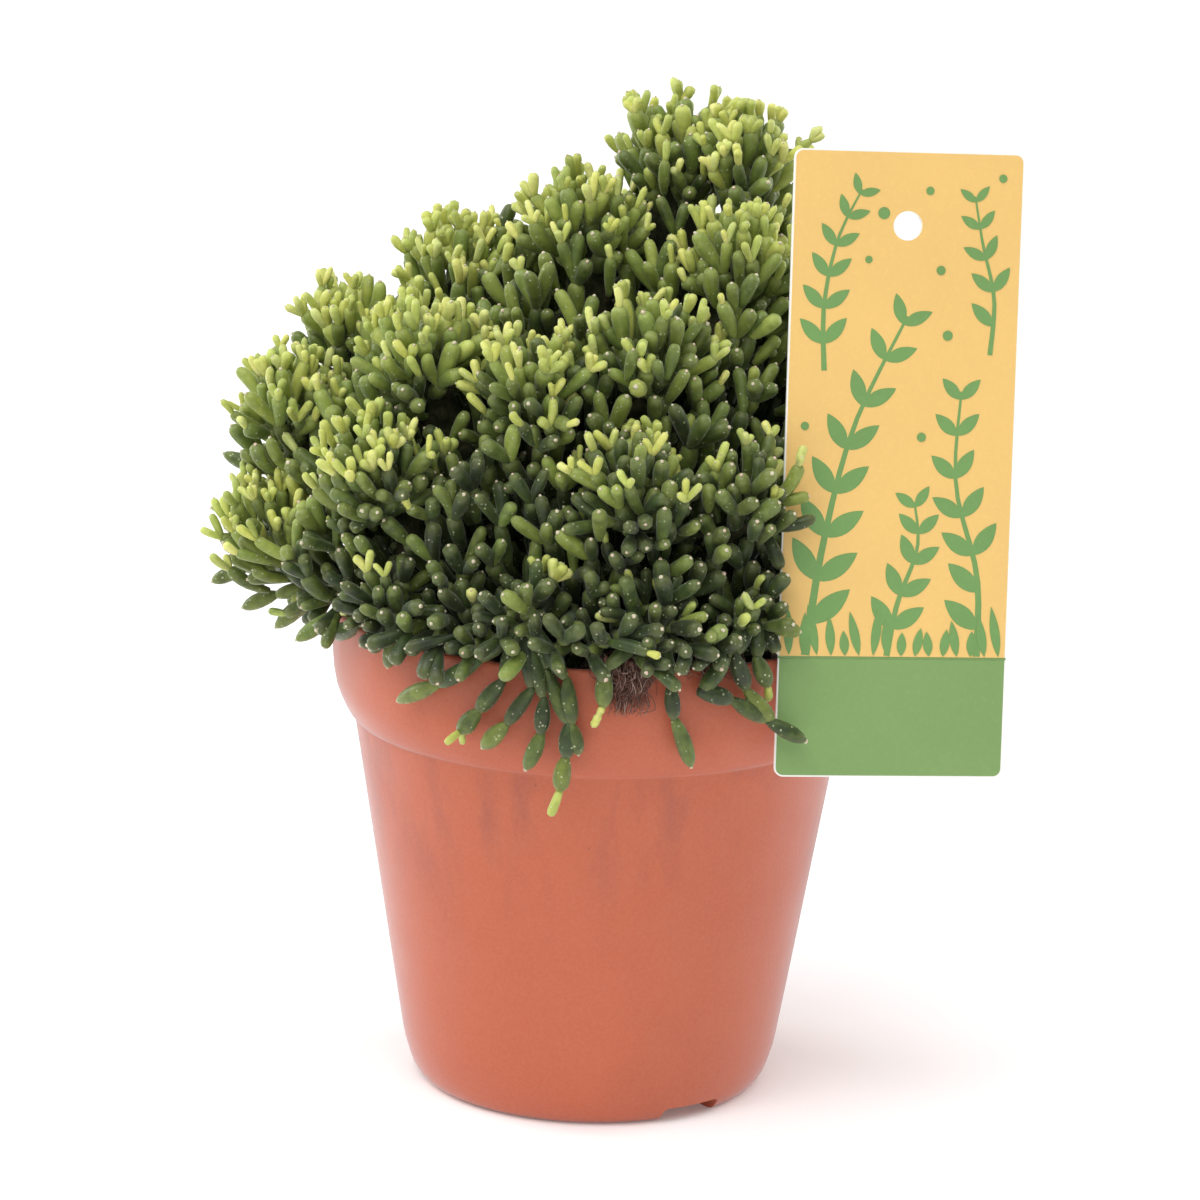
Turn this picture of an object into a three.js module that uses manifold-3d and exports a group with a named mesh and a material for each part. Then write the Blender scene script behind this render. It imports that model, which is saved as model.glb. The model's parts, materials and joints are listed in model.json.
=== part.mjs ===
// Potted dancing bones cactus: jointed stems in a plastic nursery pot, with a card label
import * as THREE from "three";
import { mergeVertices } from "three/addons/utils/BufferGeometryUtils.js";
import Module from "manifold-3d";

const wasm = await Module();
wasm.setup();

// Driving sizes, in millimetres. The pot's axis is the Z axis and it stands on Z = 0.
const potHeight = 110;
const rimRadius = 60;
const rimInnerRadius = 57.8;
const bandBottom = 82.8;
const bodyTopRadius = 54.5;
const bodyFootRadius = 42.8;
const footRadius = 36.8;
const footHeight = 2.5;
const wall = 1.8;
const potSides = 36;
const drainHoles = 8;
const drainHoleRadius = 3.5;
const drainHoleCircle = 24;
const notchAngles = [36, 156, 276];
const notchWidth = 15;
const notchHeight = 3.5;

const gap = 0.35;
const soilTop = 102.3;
const soilEdge = 101;
const rootDepth = 91;
const stemBend = 105.2;
const stemRadius = 2;
const stemSides = 6;

const labelWidth = 50.7;
const labelHeight = 135.4;
const labelThick = 0.8;
const labelCorner = 2;
const labelHoleRadius = 3;
const labelHoleDrop = 16;
const labelCrease = new THREE.Vector3(38.4, -47.4, 111);
const labelBelowCrease = 26;
const labelTurn = 10.6;
const labelLean = 8;
const labelRoll = 1.7;
const tongueWidth = 8;
const tongueInset = 1.5;
const tongueReach = 13;
const tongueFoot = 97;

// The rounded heads of the plant, one on each rooted cutting: x, y, z and radius
const heads = [
  [15, 14, 205, 21],
  [29, 4, 205, 18],
  [-5, -2, 192, 19],
  [28, -14, 187, 19],
  [-33, 14, 178, 19],
  [-57, 10, 166, 17],
  [-40, -20, 165, 19],
  [-70, -4, 152, 17],
  [-72, -8, 126, 17],
  [-48, -36, 144, 18],
  [-15, -36, 163, 18],
  [9, -30, 170, 19],
  [7, -51, 145, 18],
  [31, -44, 144, 17],
  [-45, -41, 120, 13],
  [-16, -58, 121, 13],
  [12, -57, 121, 13],
  [33, -48, 121, 12],
  [62, -4, 150, 18],
  [55, 16, 180, 19],
  [45, 45, 150, 19],
  [12, 38, 184, 20],
  [-20, 46, 160, 20],
  [-54, 34, 144, 18],
  [10, 62, 134, 17],
  [-32, 62, 124, 14],
  [64, 28, 124, 15],
].map(([x, y, z, radius]) => ({ centre: new THREE.Vector3(x, y, z), radius }));

// Chains of joints that hang over the rim. Each names its head by its place in the list above, then
// gives points as degrees right of the front, height, and distance from the pot's axis.
const trailing = [
  { head: 15, points: [[-24, 111, 63.6], [-33, 104.2, 63.6], [-43, 98.6, 63.6]] },
  { head: 15, points: [[-19, 107, 63.6], [-24, 99.7, 63.6], [-28, 94.4, 63.2]] },
  { head: 15, points: [[-13, 106, 63.6], [-18, 97.6, 63.6], [-23, 91.8, 63]] },
  { head: 15, points: [[-10.5, 104, 63.6], [-11, 96.1, 63.4], [-14, 88, 62.5]] },
  { head: 15, points: [[-6, 108.6, 63.6], [-5, 98.7, 63.6], [-3.5, 92.2, 62.8]] },
  { head: 15, points: [[-5.5, 98.8, 63.6], [-6, 91, 63], [-7, 83.6, 62.5]] },
  { head: 16, points: [[1, 111.2, 64], [1, 102.8, 63.6]] },
  { head: 16, points: [[14, 108, 63.6], [15, 100, 63.6], [19, 89.1, 62.6]] },
  { head: 17, points: [[25, 113, 64], [20, 106, 63.6], [27, 103.5, 63.8], [34, 98.5, 65.5], [40, 94, 70]] },
  { head: 17, points: [[27, 113.5, 64], [30, 105.3, 63.8], [35, 98.3, 66]] },
  { head: 17, points: [[32, 112, 63.8], [34.5, 105.7, 64.5]] },
  { head: 14, points: [[-44, 112, 63.8], [-46, 105.5, 63.6]] },
  { head: 14, points: [[-56, 112.5, 64], [-66, 107.5, 63.8]] },
  { head: 24, points: [[176, 112, 64], [170, 103, 63.6], [166, 94, 63]] },
  { head: 25, points: [[205, 112, 64], [212, 104, 63.6], [216, 95, 63]] },
  { head: 26, points: [[108, 112.5, 64], [104, 104, 63.6], [99, 95, 63]] },
];
const sprigs = [{ head: 1, tip: new THREE.Vector3(46.5, 0, 218) }];

// Growth: the stems fan out from one point below the soil, and each head's core fills its own part
// of the fan. Joints stand out of the cores in pairs.
const fanPoint = new THREE.Vector3(0, 0, 62);
const coreDepth = 8;
const coreFoot = 104.2;
const coreFootReach = 54.5;
const coreSides = 8;
const coreSpread = 2;
const lowestLean = 0.67;
const fanMargin = 0.005;
const valleyDepth = 2;
const pairSpacing = 8.2;
const pairSpread = 0.42;
const jointRadius = 2.2;
const jointLength = 8;
const jointSunk = 3.6;
const jointSides = 4;
const jointBaseShare = 0.5;
const jointFullest = 0.72;
const clearance = 0.35;

const front = (degrees) => THREE.MathUtils.degToRad(degrees - 90);

/** A repeatable source of numbers between 0 and 1. */
function makeRandom(seed) {
  let state = seed;
  return () => {
    state = (state * 16807) % 2147483647;
    return state / 2147483647;
  };
}

/** A geometry's closed solid, with shared corners merged and empty triangles left out. */
function toSolid(geometry) {
  const plain = geometry.clone();
  plain.deleteAttribute("normal");
  plain.deleteAttribute("uv");
  const merged = mergeVertices(plain, 1e-4);
  const corners = [];
  for (let i = 0; i < merged.index.count; i += 3) {
    const [a, b, c] = merged.index.array.slice(i, i + 3);
    if (a !== b && b !== c && c !== a) {
      corners.push(a, b, c);
    }
  }
  return new wasm.Manifold(new wasm.Mesh({
    numProp: 3,
    vertProperties: new Float32Array(merged.attributes.position.array),
    triVerts: new Uint32Array(corners),
  }));
}

/** The named mesh of a solid, with its own material. */
function toMesh(name, solid, look) {
  const { vertProperties, triVerts } = solid.getMesh();
  const geometry = new THREE.BufferGeometry();
  geometry.setAttribute("position", new THREE.BufferAttribute(vertProperties, 3));
  geometry.setIndex(new THREE.BufferAttribute(triVerts, 1));
  geometry.computeVertexNormals();
  const mesh = new THREE.Mesh(geometry, new THREE.MeshStandardMaterial(look));
  mesh.name = name;
  return mesh;
}

/** A solid turned round the Z axis from a list of [radius, height] points. */
function turned(outline, sides) {
  const points = outline.map(([radius, height]) => new THREE.Vector2(radius, height));
  return toSolid(new THREE.LatheGeometry(points, sides).rotateX(Math.PI / 2));
}

/** A shape turned round the line from start towards end, from [distance along it, radius] pairs. */
function turnedAlong(start, end, outline, sides) {
  const points = outline.map(([distance, radius]) => new THREE.Vector2(radius, distance));
  const geometry = new THREE.LatheGeometry(points, sides);
  const up = new THREE.Vector3(0, 1, 0);
  const along = end.clone().sub(start).normalize();
  geometry.applyQuaternion(new THREE.Quaternion().setFromUnitVectors(up, along));
  return geometry.translate(start.x, start.y, start.z);
}

function rod(start, end, radius) {
  const length = start.distanceTo(end);
  const outline = [[0, 0], [0, radius], [length, radius], [length, 0]];
  return toSolid(turnedAlong(start, end, outline, stemSides));
}

function potSolid() {
  const innerTop = bodyTopRadius - wall;
  const innerFoot = bodyFootRadius - wall;
  const outline = [
    [0, 0],
    [10, 0],
    [10.4, footHeight],
    [31, footHeight],
    [31.5, 0],
    [footRadius, 0],
    [39, 1.4],
    [41.2, 5.6],
    [bodyFootRadius, 12],
    [bodyTopRadius, bandBottom],
    [57.2, 86.8],
    [59, 91.8],
    [rimRadius, 102],
    [rimRadius, potHeight - 0.6],
    [rimRadius - 0.6, potHeight],
    [rimInnerRadius + 0.6, potHeight],
    [rimInnerRadius, potHeight - 0.6],
    [rimInnerRadius, 101],
    [56.6, 94],
    [innerTop, 86],
    [innerFoot, 12],
    [38, footHeight + 2],
    [0, footHeight + 2],
  ];
  let pot = turned(outline, potSides);
  for (let i = 0; i < drainHoles; i += 1) {
    const angle = (i / drainHoles) * 2 * Math.PI + 0.2;
    const hole = new THREE.CylinderGeometry(drainHoleRadius, drainHoleRadius, 12, 8);
    hole.rotateX(Math.PI / 2);
    hole.translate(drainHoleCircle * Math.cos(angle), drainHoleCircle * Math.sin(angle), 3);
    pot = pot.subtract(toSolid(hole));
  }
  for (const degrees of notchAngles) {
    const notch = new THREE.BoxGeometry(18, notchWidth, 2 * notchHeight);
    notch.translate(footRadius + 1, 0, 0).rotateZ(front(degrees));
    pot = pot.subtract(toSolid(notch));
  }
  return pot;
}

/** Places something drawn flat on the label: x from its left edge, y up from the crease, z forward. */
function labelFrame() {
  const lean = new THREE.Matrix4().makeRotationX(THREE.MathUtils.degToRad(90 - labelLean));
  const turn = new THREE.Matrix4().makeRotationZ(THREE.MathUtils.degToRad(labelTurn));
  const roll = new THREE.Matrix4().makeRotationZ(THREE.MathUtils.degToRad(-labelRoll));
  return turn.multiply(lean).multiply(roll).setPosition(labelCrease);
}

function labelSolid() {
  const card = new THREE.Shape();
  const [left, right, low, high] = [0, labelWidth, -labelBelowCrease, labelHeight - labelBelowCrease];
  const corner = labelCorner;
  card.moveTo(left + corner, low);
  card.absarc(right - corner, low + corner, corner, -Math.PI / 2, 0);
  card.absarc(right - corner, high - corner, corner, 0, Math.PI / 2);
  card.absarc(left + corner, high - corner, corner, Math.PI / 2, Math.PI);
  card.absarc(left + corner, low + corner, corner, Math.PI, 1.5 * Math.PI);
  const hole = new THREE.Path();
  hole.absarc(labelWidth / 2, high - labelHoleDrop, labelHoleRadius, 0, 2 * Math.PI, true);
  card.holes.push(hole);
  const shape = { depth: labelThick, bevelEnabled: false, curveSegments: 5 };
  const geometry = new THREE.ExtrudeGeometry(card, shape).translate(0, 0, -labelThick / 2);
  return toSolid(geometry.applyMatrix4(labelFrame())).add(tongueSolid(0));
}

/** The label's tongue, which goes back over the rim and down inside the pot, grown all round by extra. */
function tongueSolid(extra) {
  const side = new THREE.Shape();
  const thick = labelThick + 2 * extra;
  side.moveTo(0, 0);
  side.lineTo(tongueReach + extra, 0);
  side.lineTo(tongueReach + extra, tongueFoot - labelCrease.z - extra);
  side.lineTo(tongueReach + extra - thick, tongueFoot - labelCrease.z - extra);
  side.lineTo(tongueReach + extra - thick, -thick);
  side.lineTo(0, -thick);
  const shape = { depth: tongueWidth + 2 * extra, bevelEnabled: false };
  const tongue = new THREE.ExtrudeGeometry(side, shape);
  tongue.rotateX(Math.PI / 2).rotateZ(Math.PI / 2);
  tongue.translate(tongueInset - extra, 0, extra + labelThick);
  tongue.rotateZ(THREE.MathUtils.degToRad(labelTurn));
  return toSolid(tongue.translate(labelCrease.x, labelCrease.y, labelCrease.z));
}

/** Where a head's stem leaves the soil, on the line from the fan point to the head. */
function stemFoot(head) {
  const share = (stemBend - fanPoint.z) / (head.centre.z - fanPoint.z);
  return fanPoint.clone().lerp(head.centre, share);
}

function soilSolid() {
  const bodyTop = bodyTopRadius - wall - gap;
  let soil = turned([
    [0, footHeight + 2 + gap],
    [37.7, footHeight + 2 + gap],
    [bodyFootRadius - wall - gap, 12.3],
    [bodyTop, 86.2],
    [56.2, 94.3],
    [rimInnerRadius - gap, soilEdge],
    [48, soilTop - 0.2],
    [0, soilTop],
  ], potSides);
  for (const head of heads) {
    const foot = stemFoot(head);
    const bottom = foot.clone().setZ(rootDepth - gap);
    soil = soil.subtract(rod(bottom, foot, stemRadius + clearance + 0.1));
  }
  return soil.subtract(tongueSolid(gap));
}

/** Shortest distance between the segments a-b and c-d. */
function segmentDistance(a, b, c, d) {
  const u = b.clone().sub(a);
  const v = d.clone().sub(c);
  const w = a.clone().sub(c);
  const [uu, uv, vv, uw, vw] = [u.dot(u), u.dot(v), v.dot(v), u.dot(w), v.dot(w)];
  const spread = uu * vv - uv * uv;
  const clamp = (value) => Math.min(1, Math.max(0, value));
  let s = spread > 1e-9 ? clamp((uv * vw - vv * uw) / spread) : 0;
  const t = vv > 1e-9 ? clamp((uv * s + vw) / vv) : 0;
  s = uu > 1e-9 ? clamp((uv * t - uw) / uu) : 0;
  return a.clone().addScaledVector(u, s).distanceTo(c.clone().addScaledVector(v, t));
}

/** True if a ball at this point clears the pot's rim and wall, and the soil. */
function clearOfPot(point, ball) {
  const radius = Math.hypot(point.x, point.y);
  const room = ball + clearance;
  if (point.z > potHeight + room || radius > rimRadius + room) {
    return true;
  }
  return radius < rimInnerRadius - 0.5 - room && point.z > soilTop + room;
}

/** True if a ball at this point clears the label's card and tongue. */
function clearOfLabel(point, ball) {
  const flat = point.clone().applyMatrix4(labelFrame().invert());
  const beside = Math.max(-flat.x, flat.x - labelWidth, 0);
  const above = Math.max(flat.y - labelHeight + labelBelowCrease, -labelBelowCrease - flat.y, 0);
  const card = Math.hypot(beside, above, Math.max(Math.abs(flat.z) - labelThick / 2, 0));
  const overTongue = Math.hypot(
    Math.max(flat.x - tongueInset - tongueWidth, tongueInset - flat.x, 0),
    Math.max(flat.y - 2, 0),
    Math.max(-flat.z - tongueReach - 3, flat.z, 0),
  );
  return card > ball + clearance && overTongue > ball + clearance;
}

/** True if the joint from start to end clears pot, soil and label along its whole length. */
function clearOfHolder(start, end, radius) {
  const steps = 8;
  for (let i = 0; i <= steps; i += 1) {
    const point = start.clone().lerp(end, i / steps);
    if (!clearOfPot(point, radius) || !clearOfLabel(point, radius)) {
      return false;
    }
  }
  return true;
}

/** True if a direction from the fan point lies in the part of the fan that the head's stem owns. */
function insideFan(head, direction, margin) {
  return heads.every((other) => {
    const facing = head.outward.clone().sub(other.outward).normalize();
    return other === head || direction.dot(facing) > margin;
  });
}

/** How far the plant reaches from the fan point between heads, as a mean of the nearest ones. */
function valleySurface(direction) {
  let [sum, weights] = [0, 0];
  for (const head of heads) {
    const weight = (0.02 + head.outward.angleTo(direction)) ** -4;
    sum += weight * head.distance;
    weights += weight;
  }
  return sum / weights - valleyDepth;
}

/** How far the head's own ball of this radius reaches from the fan point, or 0 beside it. */
function ballSurface(head, direction, radius) {
  const along = head.distance * head.outward.dot(direction);
  const depth = radius ** 2 - head.distance ** 2 + along ** 2;
  return depth > 0 ? along + Math.sqrt(depth) : 0;
}

function coreSurface(head, direction) {
  return Math.max(ballSurface(head, direction, head.core), valleySurface(direction));
}

/** The direction from the fan point that leans away from the head's axis by an angle. */
function leaning(head, round, angle) {
  const side = new THREE.Vector3().crossVectors(head.outward, new THREE.Vector3(0, 1, 0)).normalize();
  side.applyAxisAngle(head.outward, round);
  return head.outward.clone().multiplyScalar(Math.cos(angle)).addScaledVector(side, Math.sin(angle));
}

/** True if the head's core reaches this way: over its own ball, or over the valley round it. */
function reaches(head, direction) {
  const overBall = ballSurface(head, direction, head.core) > 0;
  const overValley = direction.z > lowestLean && direction.angleTo(head.outward) < head.spread;
  return (overBall || overValley) && insideFan(head, direction, fanMargin);
}

/** How far the core leans away from its axis on one side. */
function coreLean(head, round) {
  let angle = head.spread;
  while (angle > 0.01 && !reaches(head, leaning(head, round, angle))) {
    angle -= head.spread / 40;
  }
  return angle;
}

/** The point on a ray from the fan point that is level with the bottom of the cores, kept inside the pot. */
function coreBottom(direction) {
  const point = direction.clone().multiplyScalar((coreFoot - fanPoint.z) / direction.z).add(fanPoint);
  const drawn = Math.min(1, coreFootReach / Math.hypot(point.x, point.y));
  return new THREE.Vector3(point.x * drawn, point.y * drawn, coreFoot);
}

/** The dense inner part of a head, from the soil up: a bottom ring, two rings on top, and two ends. */
function coreSolid(head) {
  const reach = (direction) => direction.clone().multiplyScalar(coreSurface(head, direction)).add(fanPoint);
  const corners = [coreBottom(head.outward)];
  const rounds = Array.from({ length: coreSides }, (_, i) => (i / coreSides) * 2 * Math.PI);
  const leans = rounds.map((round) => coreLean(head, round));
  rounds.forEach((round, i) => corners.push(coreBottom(leaning(head, round, leans[i]))));
  for (const share of [1, 0.55]) {
    rounds.forEach((round, i) => corners.push(reach(leaning(head, round, leans[i] * share))));
  }
  corners.push(reach(head.outward));
  const faces = [];
  const last = corners.length - 1;
  for (let i = 0; i < coreSides; i += 1) {
    const next = (i + 1) % coreSides;
    faces.push(0, 1 + next, 1 + i);
    for (const ring of [1, 1 + coreSides]) {
      const above = ring + coreSides;
      faces.push(ring + i, ring + next, above + next, ring + i, above + next, above + i);
    }
    faces.push(last - coreSides + i, last - coreSides + next, last);
  }
  const geometry = new THREE.BufferGeometry().setFromPoints(corners);
  geometry.setIndex(faces);
  return toSolid(geometry);
}

/** Evenly spread directions over the upper part of a sphere. */
function spreadDirections(count, random) {
  const steps = Array.from({ length: count }, (_, i) => i);
  return steps.map((i) => {
    const height = 1 - (2 * i + 1) / count;
    const angle = i * 2.39996;
    const level = Math.sqrt(1 - height * height);
    const direction = new THREE.Vector3(level * Math.cos(angle), level * Math.sin(angle), height);
    return direction.add(wander(random, 0.04)).normalize();
  }).filter((direction) => direction.z > 0.3);
}

function wander(random, size) {
  return new THREE.Vector3(random() - 0.5, random() - 0.5, random() - 0.5).multiplyScalar(size);
}

/** True if a joint clears the joints of every other head. */
function clearOfOthers(head, joint) {
  return heads.every((other) => other === head || other.joints.every((near) => {
    const room = joint.radius + near.radius + clearance;
    return segmentDistance(joint.start, joint.end, near.start, near.end) > room;
  }));
}

/** True if a joint clears the core of every other head. */
function clearOfCores(head, joint) {
  const steps = 4;
  for (let i = 0; i <= steps; i += 1) {
    const place = joint.start.clone().lerp(joint.end, i / steps).sub(fanPoint);
    const distance = place.length();
    const direction = place.divideScalar(distance);
    const room = joint.radius + clearance;
    const meets = heads.some((other) => (
      other !== head
      && direction.angleTo(other.outward) < other.spread + room / distance
      && insideFan(other, direction, -room / distance)
      && distance < coreSurface(other, direction) + room
    ));
    if (meets) {
      return false;
    }
  }
  return true;
}

/** Adds a joint where it clears the pot, the label and the other heads. */
function addJoint(head, start, end, radius) {
  const joint = { start, end, radius };
  const clear = clearOfHolder(start, end, radius) && clearOfOthers(head, joint);
  if (clear && clearOfCores(head, joint)) {
    head.joints.push(joint);
    return true;
  }
  return false;
}

function prepareHeads() {
  for (const head of heads) {
    const toCentre = head.centre.clone().sub(fanPoint);
    head.distance = toCentre.length();
    head.outward = toCentre.normalize();
    head.core = head.radius - coreDepth;
    head.spread = Math.asin(head.core / head.distance) * coreSpread;
    const foot = stemFoot(head);
    head.stem = { start: foot, end: foot.clone().lerp(head.centre, 0.3), radius: stemRadius };
    head.joints = [head.stem];
  }
}

function growTrailing() {
  for (const { head: place, points } of trailing) {
    const head = heads[place];
    let start = head.centre;
    for (const [degrees, height, out] of points) {
      const angle = front(degrees);
      const end = new THREE.Vector3(out * Math.cos(angle), out * Math.sin(angle), height);
      if (!addJoint(head, start, end, jointRadius - 0.1)) {
        break;
      }
      start = end.clone().addScaledVector(end.clone().sub(start).normalize(), -jointSunk);
    }
  }
  for (const { head: place, tip } of sprigs) {
    addJoint(heads[place], heads[place].centre, tip, jointRadius);
  }
}

/** Which way the surface faces at a direction from the fan point: out of the ball, or up the fan. */
function surfaceNormal(head, direction) {
  const place = direction.clone().multiplyScalar(coreSurface(head, direction)).add(fanPoint);
  const fromCentre = place.sub(head.centre).normalize();
  return fromCentre.multiplyScalar(0.75).addScaledVector(direction, 0.25).normalize();
}

/** Pairs of joints that fork from one base, spread evenly over the whole plant. */
function growJoints(random) {
  const count = Math.round((4 * Math.PI * 105 ** 2) / pairSpacing ** 2);
  for (const direction of spreadDirections(count, random)) {
    const head = heads.reduce((best, each) => (
      each.outward.dot(direction) > best.outward.dot(direction) ? each : best
    ));
    if (reaches(head, direction)) {
      const normal = surfaceNormal(head, direction);
      const surface = direction.clone().multiplyScalar(coreSurface(head, direction)).add(fanPoint);
      const base = surface.addScaledVector(normal, -jointSunk);
      const side = wander(random, 1).cross(normal).normalize();
      for (const way of [-1, 1]) {
        const aim = normal.clone().addScaledVector(side, way * pairSpread).add(wander(random, 0.3));
        const start = base.clone().addScaledVector(side, way * 0.9);
        const length = jointSunk + jointLength * (0.9 + 0.2 * random());
        const tip = start.clone().addScaledVector(aim.normalize(), length);
        addJoint(head, start, tip, jointRadius * (0.88 + 0.2 * random()));
      }
    }
  }
}

/** One club-shaped joint: narrow where it grows from the last one, fullest near its blunt tip. */
function jointSolid({ start, end, radius }) {
  const length = start.distanceTo(end);
  const outline = [[0, 0], [0, radius * jointBaseShare], [length * jointFullest, radius], [length, 0]];
  return toSolid(turnedAlong(start, end, outline, jointSides));
}

function cuttingSolid(head) {
  const foot = head.stem.start;
  let cutting = coreSolid(head);
  cutting = cutting.add(rod(foot.clone().setZ(rootDepth), foot, stemRadius));
  cutting = cutting.add(rod(foot, head.stem.end, stemRadius));
  cutting = cutting.subtract(rimRoom()).subtract(labelRoom());
  for (const joint of head.joints.slice(1)) {
    cutting = cutting.add(jointSolid(joint));
  }
  return largestBody(cutting);
}

/** The solid without any loose scrap that a joint beside the core would leave. */
function largestBody(solid) {
  return solid.decompose().reduce((best, body) => (body.volume() > best.volume() ? body : best));
}

/** The pot's rim, grown all round by the gap that leaning cores keep to it. */
function rimRoom() {
  const inner = rimInnerRadius - gap;
  const outer = rimRadius + gap;
  const top = potHeight + gap;
  return turned([[inner, 97], [outer, 97], [outer, top], [inner, top], [inner, 97]], potSides);
}

/** The label's card and tongue, grown by the gap that the plant keeps to them. */
function labelRoom() {
  const card = new THREE.BoxGeometry(labelWidth + 2 * gap, labelHeight + 2 * gap, labelThick + 2 * gap);
  card.translate(labelWidth / 2, labelHeight / 2 - labelBelowCrease, 0);
  return toSolid(card.applyMatrix4(labelFrame())).add(tongueSolid(gap));
}

const plant = new THREE.Group();
plant.name = "potted_dancing_bones_cactus";

plant.add(toMesh("pot", potSolid(), { color: 0xc8694b, roughness: 0.62, metalness: 0 }));
plant.add(toMesh("soil", soilSolid(), { color: 0x2b211b, roughness: 1, metalness: 0 }));
plant.add(toMesh("plant_label", labelSolid(), { color: 0xf5c878, roughness: 0.5, metalness: 0 }));

prepareHeads();
growTrailing();
growJoints(makeRandom(20251));
heads.forEach((head, i) => {
  const name = `cutting_${String(i + 1).padStart(2, "0")}`;
  plant.add(toMesh(name, cuttingSolid(head), { color: 0x4f7a33, roughness: 0.5, metalness: 0 }));
});

export default plant;
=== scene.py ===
import json
import math
import random

import bpy
import numpy as np
from mathutils import Matrix, Vector, noise
from mathutils.geometry import tessellate_polygon

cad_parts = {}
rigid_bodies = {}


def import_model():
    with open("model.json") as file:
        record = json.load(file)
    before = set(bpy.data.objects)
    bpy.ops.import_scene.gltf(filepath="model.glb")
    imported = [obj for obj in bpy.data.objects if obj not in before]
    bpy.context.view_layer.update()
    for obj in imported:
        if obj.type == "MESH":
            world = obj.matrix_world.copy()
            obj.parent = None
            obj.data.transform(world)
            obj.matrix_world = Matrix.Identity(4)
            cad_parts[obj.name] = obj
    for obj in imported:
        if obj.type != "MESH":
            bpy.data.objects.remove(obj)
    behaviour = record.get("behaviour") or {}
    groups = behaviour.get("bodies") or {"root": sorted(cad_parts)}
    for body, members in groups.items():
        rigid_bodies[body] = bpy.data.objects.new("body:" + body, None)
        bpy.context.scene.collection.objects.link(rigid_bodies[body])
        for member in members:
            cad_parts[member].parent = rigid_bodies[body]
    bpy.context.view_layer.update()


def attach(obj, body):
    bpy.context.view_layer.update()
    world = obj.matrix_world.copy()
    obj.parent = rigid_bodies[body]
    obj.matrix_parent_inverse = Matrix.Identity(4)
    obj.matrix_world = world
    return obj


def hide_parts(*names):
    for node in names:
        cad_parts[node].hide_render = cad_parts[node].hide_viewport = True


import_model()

mm = 0.001


# Shared mesh tools. All lengths are millimetres until a mesh is made.

def newStack():
    return {"points": [], "corners": [], "slots": [], "ageAndShade": [], "tone": [], "along": [], "count": 0}


def addToStack(stack, points, corners, slot=0, ageAndShade=0.5, tone=0.5, along=0.5):
    count = len(points)
    stack["points"].append(points)
    stack["corners"].append(corners + stack["count"])
    stack["slots"].append(np.full(len(corners), slot, dtype=np.int32))
    for key, value in (("ageAndShade", ageAndShade), ("tone", tone), ("along", along)):
        stack[key].append(np.broadcast_to(np.asarray(value, dtype=np.float32), (count,)))
    stack["count"] += count


def meshFromStack(name, stack, materials, smoothAngle=None):
    points = np.concatenate(stack["points"]) * mm
    corners = np.concatenate(stack["corners"]).astype(np.int32)
    mesh = bpy.data.meshes.new(name)
    mesh.vertices.add(len(points))
    mesh.vertices.foreach_set("co", points.astype(np.float32).ravel())
    mesh.loops.add(corners.size)
    mesh.loops.foreach_set("vertex_index", corners.ravel())
    mesh.polygons.add(len(corners))
    mesh.polygons.foreach_set("loop_start", np.arange(0, corners.size, 3, dtype=np.int32))
    mesh.polygons.foreach_set("material_index", np.concatenate(stack["slots"]))
    mesh.polygons.foreach_set("use_smooth", np.ones(len(corners), dtype=bool))
    for key in ("ageAndShade", "tone", "along"):
        layer = mesh.attributes.new(key, "FLOAT", "POINT")
        layer.data.foreach_set("value", np.concatenate(stack[key]).astype(np.float32))
    mesh.update(calc_edges=True)
    mesh.validate()
    if smoothAngle:
        mesh.set_sharp_from_angle(angle=math.radians(smoothAngle))
    piece = bpy.data.objects.new(name, mesh)
    bpy.context.scene.collection.objects.link(piece)
    for material in materials:
        mesh.materials.append(material)
    return piece


def tubeCorners(rings, sides):
    # Triangles of a tube with a point at each end: point 0 is the first end, the last point the other.
    corners = []
    last = 1 + rings * sides
    for side in range(sides):
        after = (side + 1) % sides
        corners.append((0, 1 + after, 1 + side))
        for ring in range(rings - 1):
            low = 1 + ring * sides
            high = low + sides
            corners.append((low + side, low + after, high + after))
            corners.append((low + side, high + after, high + side))
        top = 1 + (rings - 1) * sides
        corners.append((top + side, top + after, last))
    return np.array(corners, dtype=np.int32)


tubeCache = {}


def tubeMesh(centres, radii, sides, turn=0.0, wobble=None):
    # Points of a tube through centres (first and last are its end points).
    rings = len(centres) - 2
    key = (rings, sides)
    if key not in tubeCache:
        tubeCache[key] = tubeCorners(rings, sides)
    along = centres[2:] - centres[:-2]
    along /= np.linalg.norm(along, axis=1)[:, None] + 1e-9
    helper = np.array((0.3, 0.2, 0.93)) if abs(along[0][2]) < 0.9 else np.array((0.93, 0.3, 0.2))
    sideways = np.cross(along, helper)
    sideways /= np.linalg.norm(sideways, axis=1)[:, None]
    across = np.cross(along, sideways)
    angles = turn + np.arange(sides) * 2 * math.pi / sides
    spread = radii[1:-1, None] * (wobble if wobble is not None else 1.0)
    spread = np.broadcast_to(spread, (rings, sides))
    ring = (centres[1:-1, None, :]
            + spread[..., None] * (np.cos(angles)[None, :, None] * sideways[:, None, :]
                                   + np.sin(angles)[None, :, None] * across[:, None, :]))
    points = np.concatenate([centres[:1], ring.reshape(-1, 3), centres[-1:]])
    return points, tubeCache[key]


def smoothPath(points, count):
    # A smooth path through the points.
    places = np.linspace(0, len(points) - 1, count)
    made = []
    for place in places:
        i = min(int(place), len(points) - 2)
        t = place - i
        before = points[max(i - 1, 0)]
        first, second = points[i], points[i + 1]
        after = points[min(i + 2, len(points) - 1)]
        made.append(0.5 * ((2 * first) + (second - before) * t
                           + (2 * before - 5 * first + 4 * second - after) * t * t
                           + (3 * first - before - 3 * second + after) * t ** 3))
    return np.array(made)


# Materials.

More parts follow.
